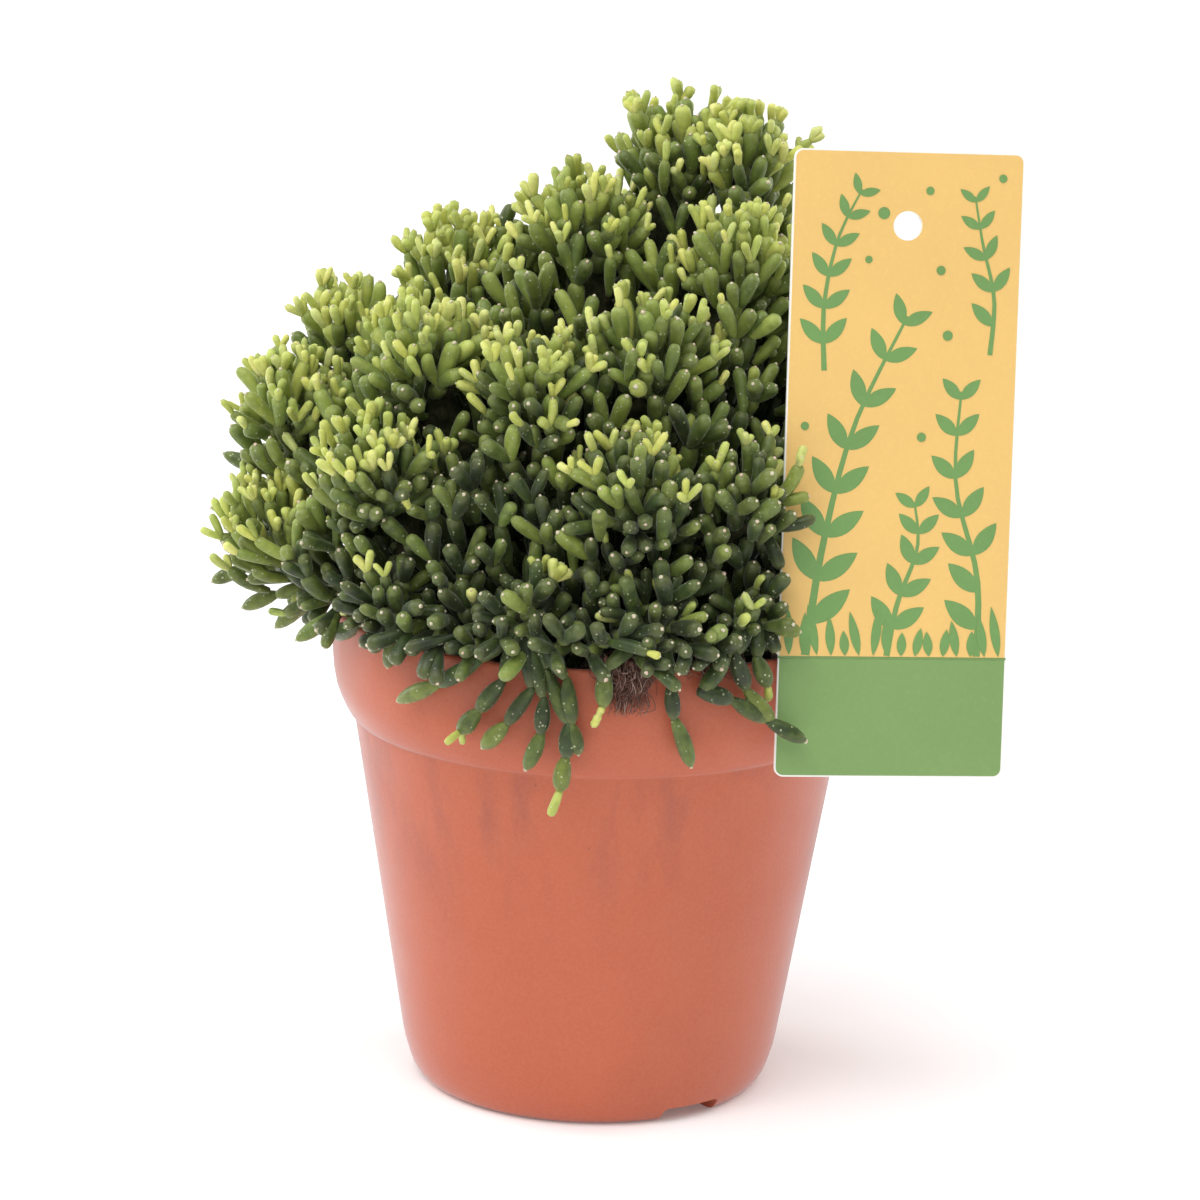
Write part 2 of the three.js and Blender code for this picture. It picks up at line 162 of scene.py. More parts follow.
def newMaterial(name):
    material = bpy.data.materials.new(name)
    material.use_nodes = True
    tree = material.node_tree
    shader = tree.nodes["Principled BSDF"]
    return material, tree, shader


def setInputs(node, **values):
    for key, value in values.items():
        node.inputs[key.replace("_", " ")].default_value = value


def addNode(tree, kind, **settings):
    node = tree.nodes.new("ShaderNode" + kind)
    for key, value in settings.items():
        if hasattr(node, key):
            setattr(node, key, value)
        else:
            setInputs(node, **{key: value})
    return node


def join(tree, source, target):
    tree.links.new(source, target)


def objectPlace(tree, scale=(1, 1, 1)):
    coords = addNode(tree, "TexCoord")
    mapping = addNode(tree, "Mapping", Scale=scale)
    join(tree, coords.outputs["Object"], mapping.inputs["Vector"])
    return mapping.outputs["Vector"]


def noiseAt(tree, place, scale, detail=4.0, roughness=0.55):
    node = addNode(tree, "TexNoise", Scale=scale, Detail=detail, Roughness=roughness)
    join(tree, place, node.inputs["Vector"])
    return node.outputs["Fac"]


def cellsAt(tree, place, scale):
    # how far each place is from the nearest of many scattered points
    node = addNode(tree, "TexVoronoi", Scale=scale)
    join(tree, place, node.inputs["Vector"])
    return node.outputs["Distance"]


def rampOf(tree, value, stops):
    node = addNode(tree, "ValToRGB")
    ramp = node.color_ramp
    while len(ramp.elements) < len(stops):
        ramp.elements.new(0.5)
    for element, (at, colour) in zip(ramp.elements, stops):
        element.position = at
        element.color = (*colour, 1) if len(colour) == 3 else colour
    join(tree, value, node.inputs["Fac"])
    return node.outputs["Color"]


def mixColours(tree, amount, first, second, blend="MIX"):
    node = addNode(tree, "Mix", data_type="RGBA", blend_type=blend)
    for socket, value in ((node.inputs["Factor"], amount), (node.inputs[6], first), (node.inputs[7], second)):
        if isinstance(value, (int, float)):
            socket.default_value = value
        elif isinstance(value, tuple):
            socket.default_value = (*value, 1)
        else:
            join(tree, value, socket)
    return node.outputs[2]


def maths(tree, kind, first, second=0.0, clamp=False):
    node = addNode(tree, "Math", operation=kind, use_clamp=clamp)
    for socket, value in zip(node.inputs, (first, second)):
        if isinstance(value, (int, float)):
            socket.default_value = value
        else:
            join(tree, value, socket)
    return node.outputs[0]


def times(tree, first, second):
    return maths(tree, "MULTIPLY", first, second)


def rangeOf(tree, value, low, high, newLow=0.0, newHigh=1.0):
    node = addNode(tree, "MapRange", From_Min=low, From_Max=high, To_Min=newLow, To_Max=newHigh)
    join(tree, value, node.inputs["Value"])
    return node.outputs["Result"]


def bumpOf(tree, height, strength, distance, under=None):
    node = addNode(tree, "Bump", Strength=strength, Distance=distance)
    join(tree, height, node.inputs["Height"])
    if under:
        join(tree, under, node.inputs["Normal"])
    return node.outputs["Normal"]


def attributeOf(tree, name):
    return addNode(tree, "Attribute", attribute_name=name).outputs["Fac"]


def heightAbove(tree):
    coords = addNode(tree, "TexCoord")
    split = addNode(tree, "SeparateXYZ")
    join(tree, coords.outputs["Object"], split.inputs[0])
    return split.outputs["Z"]


# Camera, floor and light.

stageFacts = {
    "target": (-0.00017, 0.0, 0.1107),
    "distance": 1.2,
    "elevation": 14.06,
    "roll": 1.54,
    "lens": 160.6,
    "sensor": 36,
    "clip": (0.05, 20),
    "floorHalf": 4.0,
    "floorColour": (0.93, 0.93, 0.93),
    "floorRough": 0.75,
    "floorGlow": 0.10,
    "skyStrength": 0.46,
    "sunStrength": 2.05,
    "sunAngle": 80,
    "sunWay": (0.20, 0.45, -1.0),
    "lightAim": (0, 0, 0.11),
    # each lamp's name, place, size and power
    "lamps": (
        ("keyLight", (-0.5, -0.7, 1.3), 0.5, 3.5),
        ("backLeft", (-0.95, 0.45, 0.5), 0.7, 5.4),
        ("backRight", (1.0, 0.5, 0.45), 0.7, 5.4),
    ),
}


def makeCamera():
    facts = stageFacts
    level = math.radians(facts["elevation"])
    roll = math.radians(facts["roll"])
    right = Vector((1, 0, 0))
    up = Vector((0, math.sin(level), math.cos(level)))
    back = Vector((0, -math.cos(level), math.sin(level)))
    turnedRight = right * math.cos(roll) + up * math.sin(roll)
    turnedUp = up * math.cos(roll) - right * math.sin(roll)
    data = bpy.data.cameras.new("camera")
    data.sensor_width = facts["sensor"]
    data.lens = facts["lens"]
    data.clip_start, data.clip_end = facts["clip"]
    camera = bpy.data.objects.new("camera", data)
    place = Matrix((turnedRight, turnedUp, back)).transposed().to_4x4()
    place.translation = Vector(facts["target"]) + back * facts["distance"]
    camera.matrix_world = place
    bpy.context.scene.collection.objects.link(camera)
    bpy.context.scene.camera = camera


def aimDown(light, way):
    light.rotation_mode = "QUATERNION"
    light.rotation_quaternion = way.to_track_quat("-Z", "Y")
    bpy.context.scene.collection.objects.link(light)


def addSoftLight(name, place, size, power):
    data = bpy.data.lights.new(name, "AREA")
    data.shape = "DISK"
    data.size = size
    data.energy = power
    light = bpy.data.objects.new(name, data)
    light.location = place
    aimDown(light, Vector(stageFacts["lightAim"]) - Vector(place))


def makeStage():
    facts = stageFacts
    half = facts["floorHalf"] / mm
    stack = newStack()
    grid = np.array([(x, y, 0.0) for y in (-half, 0, half) for x in (-half, 0, half)])
    corners = []
    for row in range(2):
        for column in range(2):
            first = row * 3 + column
            corners += [(first, first + 1, first + 4), (first, first + 4, first + 3)]
    addToStack(stack, grid, np.array(corners))
    material, tree, shader = newMaterial("paleFloor")
    place = objectPlace(tree)
    grain = noiseAt(tree, place, 90)
    pale = facts["floorColour"]
    darker = tuple(c * 0.985 for c in pale)
    join(tree, mixColours(tree, grain, pale, darker), shader.inputs["Base Color"])
    setInputs(shader, Roughness=facts["floorRough"], Emission_Color=(1, 1, 1, 1),
              Emission_Strength=facts["floorGlow"])
    floor = meshFromStack("floor", stack, [material])
    scene = bpy.context.scene
    scene.view_settings.view_transform = "Standard"
    world = bpy.data.worlds.new("studio")
    scene.world = world
    world.use_nodes = True
    setInputs(world.node_tree.nodes["Background"], Color=(1, 1, 1, 1), Strength=facts["skyStrength"])
    sun = bpy.data.lights.new("softSky", "SUN")
    sun.energy = facts["sunStrength"]
    sun.angle = math.radians(facts["sunAngle"])
    aimDown(bpy.data.objects.new("softSky", sun), Vector(facts["sunWay"]))
    for lamp in facts["lamps"]:
        addSoftLight(*lamp)


makeCamera()
makeStage()
print("camera, floor and lights are in place")


# The pot.

pot = {
    "height": 110.0,
    "rimRadius": 60.0,
    "rimInner": 57.8,
    "bodyTop": 54.5,
    "bodyFoot": 42.8,
    "wall": 1.8,
    "sides": 160,
    "holeCircle": 24.0,
    "holeRadius": 3.5,
    "holes": 8,
    "notchAngles": (36, 156, 276),
    "notchWidth": 15.0,
    "notchHeight": 3.5,
    "notchReach": (28.5, 46.5),
    "smoothAngle": 38,
    "colour": (0.452, 0.093, 0.036),
    "dullColour": (0.315, 0.072, 0.040),
    "paleColour": (0.54, 0.145, 0.068),
    "speckleColour": (0.66, 0.25, 0.15),
    "speckColour": (0.06, 0.03, 0.02),
    # heights in metres between which the streaks gather, and where they end under the band
    "streaks": (0.040, 0.080),
    "streakTop": (0.0865, 0.084),
}


def front(degrees):
    return math.radians(degrees - 90)


def potMaterial():
    material, tree, shader = newMaterial("terracottaPlastic")
    place = objectPlace(tree)
    tall = objectPlace(tree, (1, 1, 0.28))
    cloudy = rangeOf(tree, noiseAt(tree, place, 28, 3), 0.35, 0.7)
    colour = mixColours(tree, times(tree, cloudy, 0.22), pot["colour"], pot["paleColour"])
    # dull streaks left by water below the band
    streaks = rangeOf(tree, noiseAt(tree, tall, 95, 5, 0.6), 0.5, 0.68)
    below = rangeOf(tree, heightAbove(tree), *pot["streaks"])
    under = rangeOf(tree, heightAbove(tree), *pot["streakTop"])
    stain = times(tree, times(tree, streaks, below), under)
    colour = mixColours(tree, times(tree, stain, 0.85), colour, pot["dullColour"])
    smudge = rangeOf(tree, noiseAt(tree, place, 17, 4, 0.62), 0.58, 0.75)
    colour = mixColours(tree, times(tree, smudge, 0.3), colour, pot["dullColour"])
    # fine speckle of the moulded plastic, and a few dark specks of soil
    speckle = noiseAt(tree, place, 1500, 2, 0.7)
    colour = mixColours(tree, rangeOf(tree, speckle, 0.3, 0.75, 0, 0.16), colour, pot["speckleColour"])
    spot = rangeOf(tree, cellsAt(tree, place, 115), 0.035, 0.02)
    rare = rangeOf(tree, noiseAt(tree, place, 45, 1), 0.52, 0.56)
    colour = mixColours(tree, times(tree, spot, rare), colour, pot["speckColour"])
    join(tree, colour, shader.inputs["Base Color"])
    rough = rangeOf(tree, noiseAt(tree, place, 60, 4), 0.3, 0.7, 0.46, 0.62)
    join(tree, rough, shader.inputs["Roughness"])
    fine = bumpOf(tree, speckle, 0.12, 0.0003)
    join(tree, bumpOf(tree, cloudy, 0.1, 0.0008, fine), shader.inputs["Normal"])
    setInputs(shader, Sheen_Weight=0.5, Sheen_Roughness=0.35, Sheen_Tint=(0.7, 0.9, 1.0, 1))
    setInputs(shader, Subsurface_Weight=0.12, Subsurface_Radius=(0.004, 0.0015, 0.001), Subsurface_Scale=1.0)
    return material


def potOutline():
    innerTop = pot["bodyTop"] - pot["wall"]
    innerFoot = pot["bodyFoot"] - pot["wall"]
    rim = pot["rimRadius"]
    inner = pot["rimInner"]
    top = pot["height"]
    return [
        (0, 0), (9.6, 0), (10, 0.4), (10.4, 2.1), (10.8, 2.5), (30.4, 2.5), (31, 2.1),
        (31.4, 0.3), (31.8, 0), (36.4, 0), (37.4, 0.25), (38.4, 0.8), (39.4, 1.8), (40.4, 3.4),
        (41.2, 5.6), (42.1, 8.6), (42.8, 12), (44.8, 24), (47.0, 37.4), (49.4, 52), (51.8, 66.5),
        (54.7, 84.1), (54.8, 84.55), (55.1, 84.9), (55.55, 85.2), (56.2, 85.9), (57.1, 87.5),
        (58.1, 89.6), (58.95, 92.0), (59.5, 95), (59.8, 98.5), (60, 102), (rim, 109.2), (rim - 0.1, 109.6),
        (rim - 0.35, 109.9), (rim - 0.7, top), (inner + 0.7, top), (inner + 0.35, 109.9),
        (inner + 0.1, 109.6), (inner, 109.2), (inner, 101), (57.4, 97.5), (56.6, 94),
        (54.6, 89.5), (innerTop, 86), (innerFoot + 6, 49), (innerFoot, 12), (40, 7),
        (38, 4.9), (37, 4.5), (0, 4.5),
    ]


def turnedStack(outline, sides, shift=None):
    # Turns an outline that starts and ends on the axis.
    angles = np.arange(sides) * 2 * math.pi / sides
    rings = []
    for radius, height in outline[1:-1]:
        rings.append(np.stack([radius * np.cos(angles), radius * np.sin(angles), np.full(sides, height)], 1))
    first = np.array([(0, 0, outline[0][1])], dtype=float)
    last = np.array([(0, 0, outline[-1][1])], dtype=float)
    points = np.concatenate([first, *rings, last])
    if shift is not None:
        points = shift(points)
    stack = newStack()
    addToStack(stack, points, tubeCorners(len(rings), sides))
    return stack


def prismStack(outline, low, high):
    # An upright prism over an outline of (x, y) points.
    count = len(outline)
    points = np.array([(x, y, low) for x, y in outline] + [(x, y, high) for x, y in outline], dtype=float)
    flat = tessellate_polygon([[Vector((x, y, 0)) for x, y in outline]])
    corners = [(a, b, c) for a, b, c in orient(flat, outline, False)]
    corners += [(a + count, b + count, c + count) for a, b, c in orient(flat, outline, True)]
    for i in range(count):
        after = (i + 1) % count
        corners += [(i, after, after + count), (i, after + count, i + count)]
    return points, np.array(corners)


def orient(flat, outline, upward):
    # Turns each triangle so that it faces up or down.
    for a, b, c in flat:
        (ax, ay), (bx, by), (cx, cy) = outline[a], outline[b], outline[c]
        turns = (bx - ax) * (cy - ay) - (by - ay) * (cx - ax)
        yield (a, b, c) if (turns > 0) == upward else (a, c, b)


def circle(x, y, radius, count, start=0.0):
    return [(x + radius * math.cos(start + i * 2 * math.pi / count),
             y + radius * math.sin(start + i * 2 * math.pi / count)) for i in range(count)]


def cutAway(piece, cutters):
    for cutter in cutters:
        modifier = piece.modifiers.new("cut", "BOOLEAN")
        modifier.operation = "DIFFERENCE"
        modifier.solver = "EXACT"
        modifier.object = cutter
    graph = bpy.context.evaluated_depsgraph_get()
    result = bpy.data.meshes.new_from_object(piece.evaluated_get(graph))
    piece.modifiers.clear()
    piece.data = result
    for cutter in cutters:
        bpy.data.objects.remove(cutter, do_unlink=True)


def makePot():
    material = potMaterial()
    piece = meshFromStack("nurseryPot", turnedStack(potOutline(), pot["sides"]), [material])
    cutters = []
    holes = newStack()
    for i in range(pot["holes"]):
        angle = i / pot["holes"] * 2 * math.pi + 0.2
        middle = (pot["holeCircle"] * math.cos(angle), pot["holeCircle"] * math.sin(angle))
        addToStack(holes, *prismStack(circle(*middle, pot["holeRadius"], 28), -3, 8))
    cutters.append(meshFromStack("drainHoles", holes, []))
    notches = newStack()
    for degrees in pot["notchAngles"]:
        half = pot["notchWidth"] / 2
        turn = front(degrees)
        high = pot["notchHeight"]
        # a low arch with rounded shoulders, seen along the radius
        arch = [(-half, -2), (half, -2), (half, high - 1.0), (half - 0.35, high - 0.35), (half - 1.1, high),
                (1.1 - half, high), (0.35 - half, high - 0.35), (-half, high - 1.0)]
        points, corners = prismStack(arch, *pot["notchReach"])
        along, across, height = points[:, 2], points[:, 0], points[:, 1]
        placed = np.stack([along * math.cos(turn) - across * math.sin(turn),
                           along * math.sin(turn) + across * math.cos(turn), height], 1)
        addToStack(notches, placed, corners)
    cutters.append(meshFromStack("footNotches", notches, []))
    cutAway(piece, cutters)
    piece.data.polygons.foreach_set("use_smooth", np.ones(len(piece.data.polygons), dtype=bool))
    piece.data.set_sharp_from_angle(angle=math.radians(pot["smoothAngle"]))
    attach(piece, "root")
    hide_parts("pot")


makePot()
print("the pot is made")


# The soil, its crumbs and the tuft of root fibre that hangs over the rim.

soil = {
    "top": 102.3,
    "gap": 0.35,
    "crumbs": 520,
    "crumbSize": (0.5, 1.5),
    "sides": 96,
    "rings": 22,
    "colour": (0.030, 0.019, 0.013),
    "brown": (0.075, 0.045, 0.028),
    "seed": 41,
}

# the tuft's place and spread are in degrees right of the pot's front
tuft = {
    "fibres": 270,
    "clods": 60,
    "place": 6.6,
    "spread": 2.6,
    "thickness": (0.09, 0.21),
    "hang": 5.4,
    "longestHang": 10.2,
    "narrowing": 0.45,
    "strayPlaces": (15, 30),
    "strayHang": (0.5, 3.5),
    "colour": (0.105, 0.044, 0.031),
    "pale": (0.24, 0.115, 0.082),
    "dry": (0.42, 0.29, 0.24),
}


def soilMaterial(name, dark, light, rough, dry=None):
    material, tree, shader = newMaterial(name)
    place = objectPlace(tree)
    coarse = noiseAt(tree, place, 260, 6, 0.65)
    fine = noiseAt(tree, place, 1400, 4, 0.6)
    colour = mixColours(tree, rangeOf(tree, coarse, 0.38, 0.66), dark, light)
    colour = mixColours(tree, rangeOf(tree, fine, 0.6, 0.72, 0, 0.5), colour, tuple(c * 2.1 for c in light))
    if dry:
        # a few fibres have dried pale
        colour = mixColours(tree, rangeOf(tree, attributeOf(tree, "tone"), 0.6, 0.95, 0, 0.8), colour, dry)
    join(tree, colour, shader.inputs["Base Color"])
    join(tree, rangeOf(tree, coarse, 0.3, 0.7, rough - 0.12, rough), shader.inputs["Roughness"])
    under = bumpOf(tree, coarse, 0.8, 0.0012)
    join(tree, bumpOf(tree, fine, 0.6, 0.0004, under), shader.inputs["Normal"])
    return material


def makeSoil():
    chance = random.Random(soil["seed"])
    gap = soil["gap"]
    bodyTop = pot["bodyTop"] - pot["wall"] - gap
    outline = [
        (0, 4.5 + gap), (20, 4.5 + gap), (37.0, 4.5 + gap), (39.5, 7.6),
        (pot["bodyFoot"] - pot["wall"] - gap - 0.05, 12.3), (46.5, 49), (bodyTop - 0.05, 86.2),
        (54.0, 89.4), (56.0, 94.3), (56.9, 97.6), (pot["rimInner"] - gap - 0.05, 101 - 0.4),
    ]
    rings = soil["rings"]
    for i in range(rings):
        share = 1 - (i + 0.3) / rings
        outline.append((56.9 * share, soil["top"] - 0.9))
    outline.append((0, soil["top"] - 0.9))

    def lumpy(points):
        level = points[:, 2] > 100.9
        for i in np.nonzero(level)[0]:
            x, y, z = points[i]
            lump = noise.fractal(Vector((x * 0.16, y * 0.16, 3.0)), 0.6, 2.1, 4)
            edge = min(1.0, (57.4 - math.hypot(x, y)) / 4)
            points[i][2] = z + lump * 1.1 * max(edge, 0.15)
        return points

    material = soilMaterial("dampPeat", soil["colour"], soil["brown"], 0.95)
    stack = turnedStack(outline, soil["sides"], lumpy)
    for _ in range(soil["crumbs"]):
        around = chance.uniform(0, 2 * math.pi)
        out = 56.0 * math.sqrt(chance.random())
        size = chance.uniform(*soil["crumbSize"])
        out = min(out, 56.6 - size)
        centre = np.array((out * math.cos(around), out * math.sin(around), soil["top"] - 0.6 + size * 0.3))
        addCrumb(stack, chance, centre, size)
    piece = meshFromStack("peatSoil", stack, [material])
    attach(piece, "root")
    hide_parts("soil")


def addCrumb(stack, chance, centre, size):
    rings, sides = 3, 6
    heights = np.array((-1, -0.6, 0.05, 0.65, 1.0)) * size
    radii = np.array((0, 0.8, 1.0, 0.7, 0)) * size
    lean = np.array((chance.uniform(-0.4, 0.4), chance.uniform(-0.4, 0.4), 1.0))
    centres = centre + heights[:, None] * lean
    wobble = np.array([[chance.uniform(0.7, 1.2) for _ in range(sides)] for _ in range(rings)])
    addToStack(stack, *tubeMesh(centres, radii, sides, chance.uniform(0, 1), wobble))


def fibrePath(chance, stray):
    # over the rim and down; most fibres hang in one tangled clump, a few lie further round
    place, spread = tuft["place"], tuft["spread"]
    middle = chance.uniform(*tuft["strayPlaces"]) if stray else chance.gauss(place - 0.6, spread)
    if stray:
        drop = chance.uniform(*tuft["strayHang"])
    else:
        drop = min(tuft["longestHang"], abs(chance.gauss(0, tuft["hang"])) + 1.2)
    hold = 1 - drop / 16
    path = [(51.0 + chance.uniform(-2, 2), 102.5, middle), (55.8, 107.5 + chance.uniform(-1, 2), middle)]
    path.append((59.0 + chance.uniform(-0.6, 0.8), 111.2 + abs(chance.gauss(0, 1.5)), middle))
    for step in range(1, 6):
        # the clump narrows downward and its fibres wind to and fro
        share = step / 5
        drawn = 1 - tuft["narrowing"] * share * hold
        turn = middle + share * 3 if stray else place + (middle - place) * drawn
        wander = chance.gauss(0, 0.75) * (0.5 if stray else 1)
        out = pot["rimRadius"] + 0.45 + abs(chance.gauss(0, 1.5)) * (1 - 0.5 * share)
        path.append((out, 110.9 - drop * share + chance.gauss(0, 0.55), turn + wander))
    return np.array([(r * math.cos(front(a)), r * math.sin(front(a)), z) for r, z, a in path])


def makeRootTuft():
    chance = random.Random(soil["seed"] + 1)
    stack = newStack()
    for i in range(tuft["fibres"]):
        points = smoothPath(fibrePath(chance, i % 9 == 0), 22)
        thick = chance.uniform(*tuft["thickness"])
        radii = np.linspace(thick, thick * 0.45, len(points))
        tone = 1.0 if chance.random() < 0.22 else chance.uniform(0, 0.5)
        addToStack(stack, *tubeMesh(points, radii, 4, chance.uniform(0, 1)), tone=tone)
    for _ in range(tuft["clods"]):
        angle = front(chance.gauss(tuft["place"] - 0.8, tuft["spread"]))
        reach = chance.uniform(56.0, 61.6)
        height = 111.2 + chance.uniform(0, 1.6) - max(0, reach - 60.6) * 2.5
        size = chance.uniform(0.45, 1.05)
        centre = np.array((reach * math.cos(angle), reach * math.sin(angle), height + size * 0.3))
        addCrumb(stack, chance, centre, size)
    material = soilMaterial("rootFibre", tuft["colour"], tuft["pale"], 0.9, tuft["dry"])
    piece = meshFromStack("rootTuft", stack, [material])
    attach(piece, "root")


makeSoil()
makeRootTuft()
print("the soil and its root fibres are made")


# The card label, with a plain leaf print of its own.

label = {
    "width": 50.7,
    "height": 135.4,
    "below": 26.0,
    "thick": 0.8,
    "corner": 2.0,
    "holeRadius": 3.0,
    "holeDrop": 16.0,
    "crease": (38.4, -47.4, 111.0),
    "turn": 10.6,
    "lean": 8.0,
    "roll": 1.7,
    "tongueInset": 1.5,
    "tongueWidth": 8.0,
    "tongueReach": 13.0,
    "tongueFoot": 97.0,
    "yellow": (0.80, 0.515, 0.166),
    "green": (0.196, 0.33, 0.106),
    "printGreen": (0.16, 0.315, 0.09),
    "card": (0.88, 0.87, 0.82),
    "whiteEdge": 0.35,
    "seed": 7,
    # each stalk: the points it runs through, its width, pairs of leaves, leaf length and width
    "stalks": (
        ([(6, 0.5), (9, 24), (15, 50), (26, 74)], 1.9, 8, 11.5, 4.6),
        ([(44, 0.5), (43.5, 18), (38, 38), (38.5, 58)], 1.6, 7, 10.0, 4.2),
        ([(24, 0.5), (26, 12), (30, 24), (29, 34)], 1.4, 5, 8.5, 3.6),
        ([(8, 62), (7.5, 76), (10, 90), (15, 101)], 1.2, 6, 7.5, 3.0),
        ([(44.5, 66), (45, 78), (42, 90), (40, 100)], 1.1, 5, 7.0, 2.8),
    ),
    "leafLean": (38, 52),
    "bladeHeight": (5, 12.5),
    "bladeEvery": 3.1,
    # x, y and radius of each dot
    "dots": (
        (20, 96, 1.3), (33, 84, 1.0), (30, 101, 0.9), (17, 86, 0.8), (35, 70, 1.1),
        (30, 48, 1.0), (46, 104, 0.9), (4.2, 50, 0.9),
    ),
}


def labelAxes():
    turn = math.radians(label["turn"])
    rise = math.radians(90 - label["lean"])
    roll = math.radians(label["roll"])
    level = Vector((math.cos(turn), math.sin(turn), 0))
    steep = Vector((-math.sin(turn) * math.cos(rise), math.cos(turn) * math.cos(rise), math.sin(rise)))
    side = level * math.cos(roll) - steep * math.sin(roll)
    up = steep * math.cos(roll) + level * math.sin(roll)
    return Vector(label["crease"]), side, up, side.cross(up)


labelOrigin, labelSide, labelUp, labelOut = labelAxes()


def onLabel(points):
    # From flat label places (x from the left edge, y up from the crease, z forward) to the part's.
    axes = np.array((labelSide, labelUp, labelOut))
    return np.asarray(points, dtype=float) @ axes + np.array(labelOrigin)


def printedMaterial(name, colour, mottle):
    material, tree, shader = newMaterial(name)
    place = objectPlace(tree)
    soft = noiseAt(tree, place, 40, 3)
    fibre = noiseAt(tree, place, 900, 3, 0.7)
    darker = tuple(c * (1 - mottle) for c in colour)
    shade = mixColours(tree, rangeOf(tree, soft, 0.3, 0.7), colour, darker)
    pale = tuple(min(1.0, c * 1.12 + 0.02) for c in colour)
    shade = mixColours(tree, rangeOf(tree, fibre, 0.5, 0.8, 0, 0.35), shade, pale)
    join(tree, shade, shader.inputs["Base Color"])
    join(tree, rangeOf(tree, soft, 0.3, 0.7, 0.42, 0.52), shader.inputs["Roughness"])
    join(tree, bumpOf(tree, fibre, 0.06, 0.0002), shader.inputs["Normal"])
    return material


def flatFaces(loops, upward):
    # Triangles over an outline with holes, as places in the joined list of loops.
    joined = [point for loop in loops for point in loop]
    flat = tessellate_polygon([[Vector((x, y, 0)) for x, y in loop] for loop in loops])
    return list(orient(flat, joined, upward))


def addPanel(stack, loops, back, face, faceSlot, edgeSlot):
    # A flat panel of card: the face in one finish, the back and edges in another.
    joined = [point for loop in loops for point in loop]
    count = len(joined)
    low = onLabel([(x, y, back) for x, y in joined])
    high = onLabel([(x, y, face) for x, y in joined])
    addToStack(stack, high, np.array(flatFaces(loops, True)), faceSlot)
    addToStack(stack, low, np.array(flatFaces(loops, False)), edgeSlot)
    sides = []
    start = 0
    for loop in loops:
        area = sum(loop[i][0] * loop[(i + 1) % len(loop)][1] - loop[(i + 1) % len(loop)][0] * loop[i][1]
                   for i in range(len(loop)))
        for i in range(len(loop)):
            one, two = start + i, start + (i + 1) % len(loop)
            if (area > 0) == (start > 0):
                one, two = two, one
            sides += [(one, two, two + count), (one, two + count, one + count)]
        start += len(loop)
    addToStack(stack, np.concatenate([low, high]), np.array(sides), edgeSlot)


def arc(x, y, radius, first, last, count=7):
    turns = [math.radians(first + (last - first) * i / (count - 1)) for i in range(count)]
    return [(x + radius * math.cos(t), y + radius * math.sin(t)) for t in turns]


def leafOutline(x, y, turn, length, width, count=9):
    # A pointed oval leaf that starts at x, y.
    places = []
    for i in range(count + 1):
        t = i / count
        places.append((t * length, width / 2 * math.sin(math.pi * t) ** 0.8 * (1.15 - 0.3 * t)))
    for i in range(count - 1, 0, -1):
        t = i / count
        places.append((t * length, -width / 2 * math.sin(math.pi * t) ** 0.8 * (1.15 - 0.3 * t)))
    c, s = math.cos(turn), math.sin(turn)
    return [(x + u * c - v * s, y + u * s + v * c) for u, v in places]


def stalkOutline(points, width):
    path = smoothPath(np.array([(x, y, 0.0) for x, y in points]), 14)
    left, right = [], []
    for i, (x, y, _) in enumerate(path):
        ahead = path[min(i + 1, len(path) - 1)] - path[max(i - 1, 0)]
        size = math.hypot(ahead[0], ahead[1])
        half = width / 2 * (1 - 0.7 * i / (len(path) - 1))
        nx, ny = -ahead[1] / size * half, ahead[0] / size * half
        left.append((x + nx, y + ny))
        right.append((x - nx, y - ny))
    return left + right[::-1], path


def sheetLoops(margin, gap):
    # the outlines of the card above and below the crease, drawn in by a margin
    width, corner = label["width"], label["corner"]
    high, low = label["height"] - label["below"], -label["below"]
    upper = ([(margin, gap), (width - margin, gap)]
             + arc(width - corner, high - corner, corner - margin, 0, 90)
             + arc(corner, high - corner, corner - margin, 90, 180))
    lower = ([(width - margin, -gap), (margin, -gap)]
             + arc(corner, low + corner, corner - margin, 180, 270)
             + arc(width - corner, low + corner, corner - margin, 270, 360))
    return upper, lower


def printLeaves(addPrint, chance):
    # leafy stalks, a row of grass blades and a few dots
    width, high = label["width"], label["height"] - label["below"]
    for points, thick, pairs, length, wide in label["stalks"]:
        outline, path = stalkOutline(points, thick)
        addPrint(outline)
        for i in range(pairs):
            t = (i + 1.0) / (pairs + 0.3) * (len(path) - 1)
            k = min(int(t), len(path) - 2)
            x, y, _ = path[k] + (path[k + 1] - path[k]) * (t - k)
            ahead = path[k + 1] - path[k]
            turn = math.atan2(ahead[1], ahead[0])
            size = 1 - 0.45 * i / pairs
            for sign in (-1, 1):
                lean = turn + sign * math.radians(chance.uniform(*label["leafLean"]))
                leaf = leafOutline(x, y, lean, length * size, wide * size)
                if all(0.9 < px < width - 0.9 and 0.5 < py < high - 1.2 for px, py in leaf):
                    addPrint(leaf)
    for x in np.arange(2.4, width - 1.5, label["bladeEvery"]):
        tall = chance.uniform(*label["bladeHeight"])
        blade = leafOutline(x, 0.45, math.radians(90 + chance.uniform(-14, 14)), tall, 2.1)
        if all(0.9 < px < width - 0.9 for px, py in blade):
            addPrint(blade)
    for x, y, size in label["dots"]:
        addPrint(circle(x, y, size, 18))


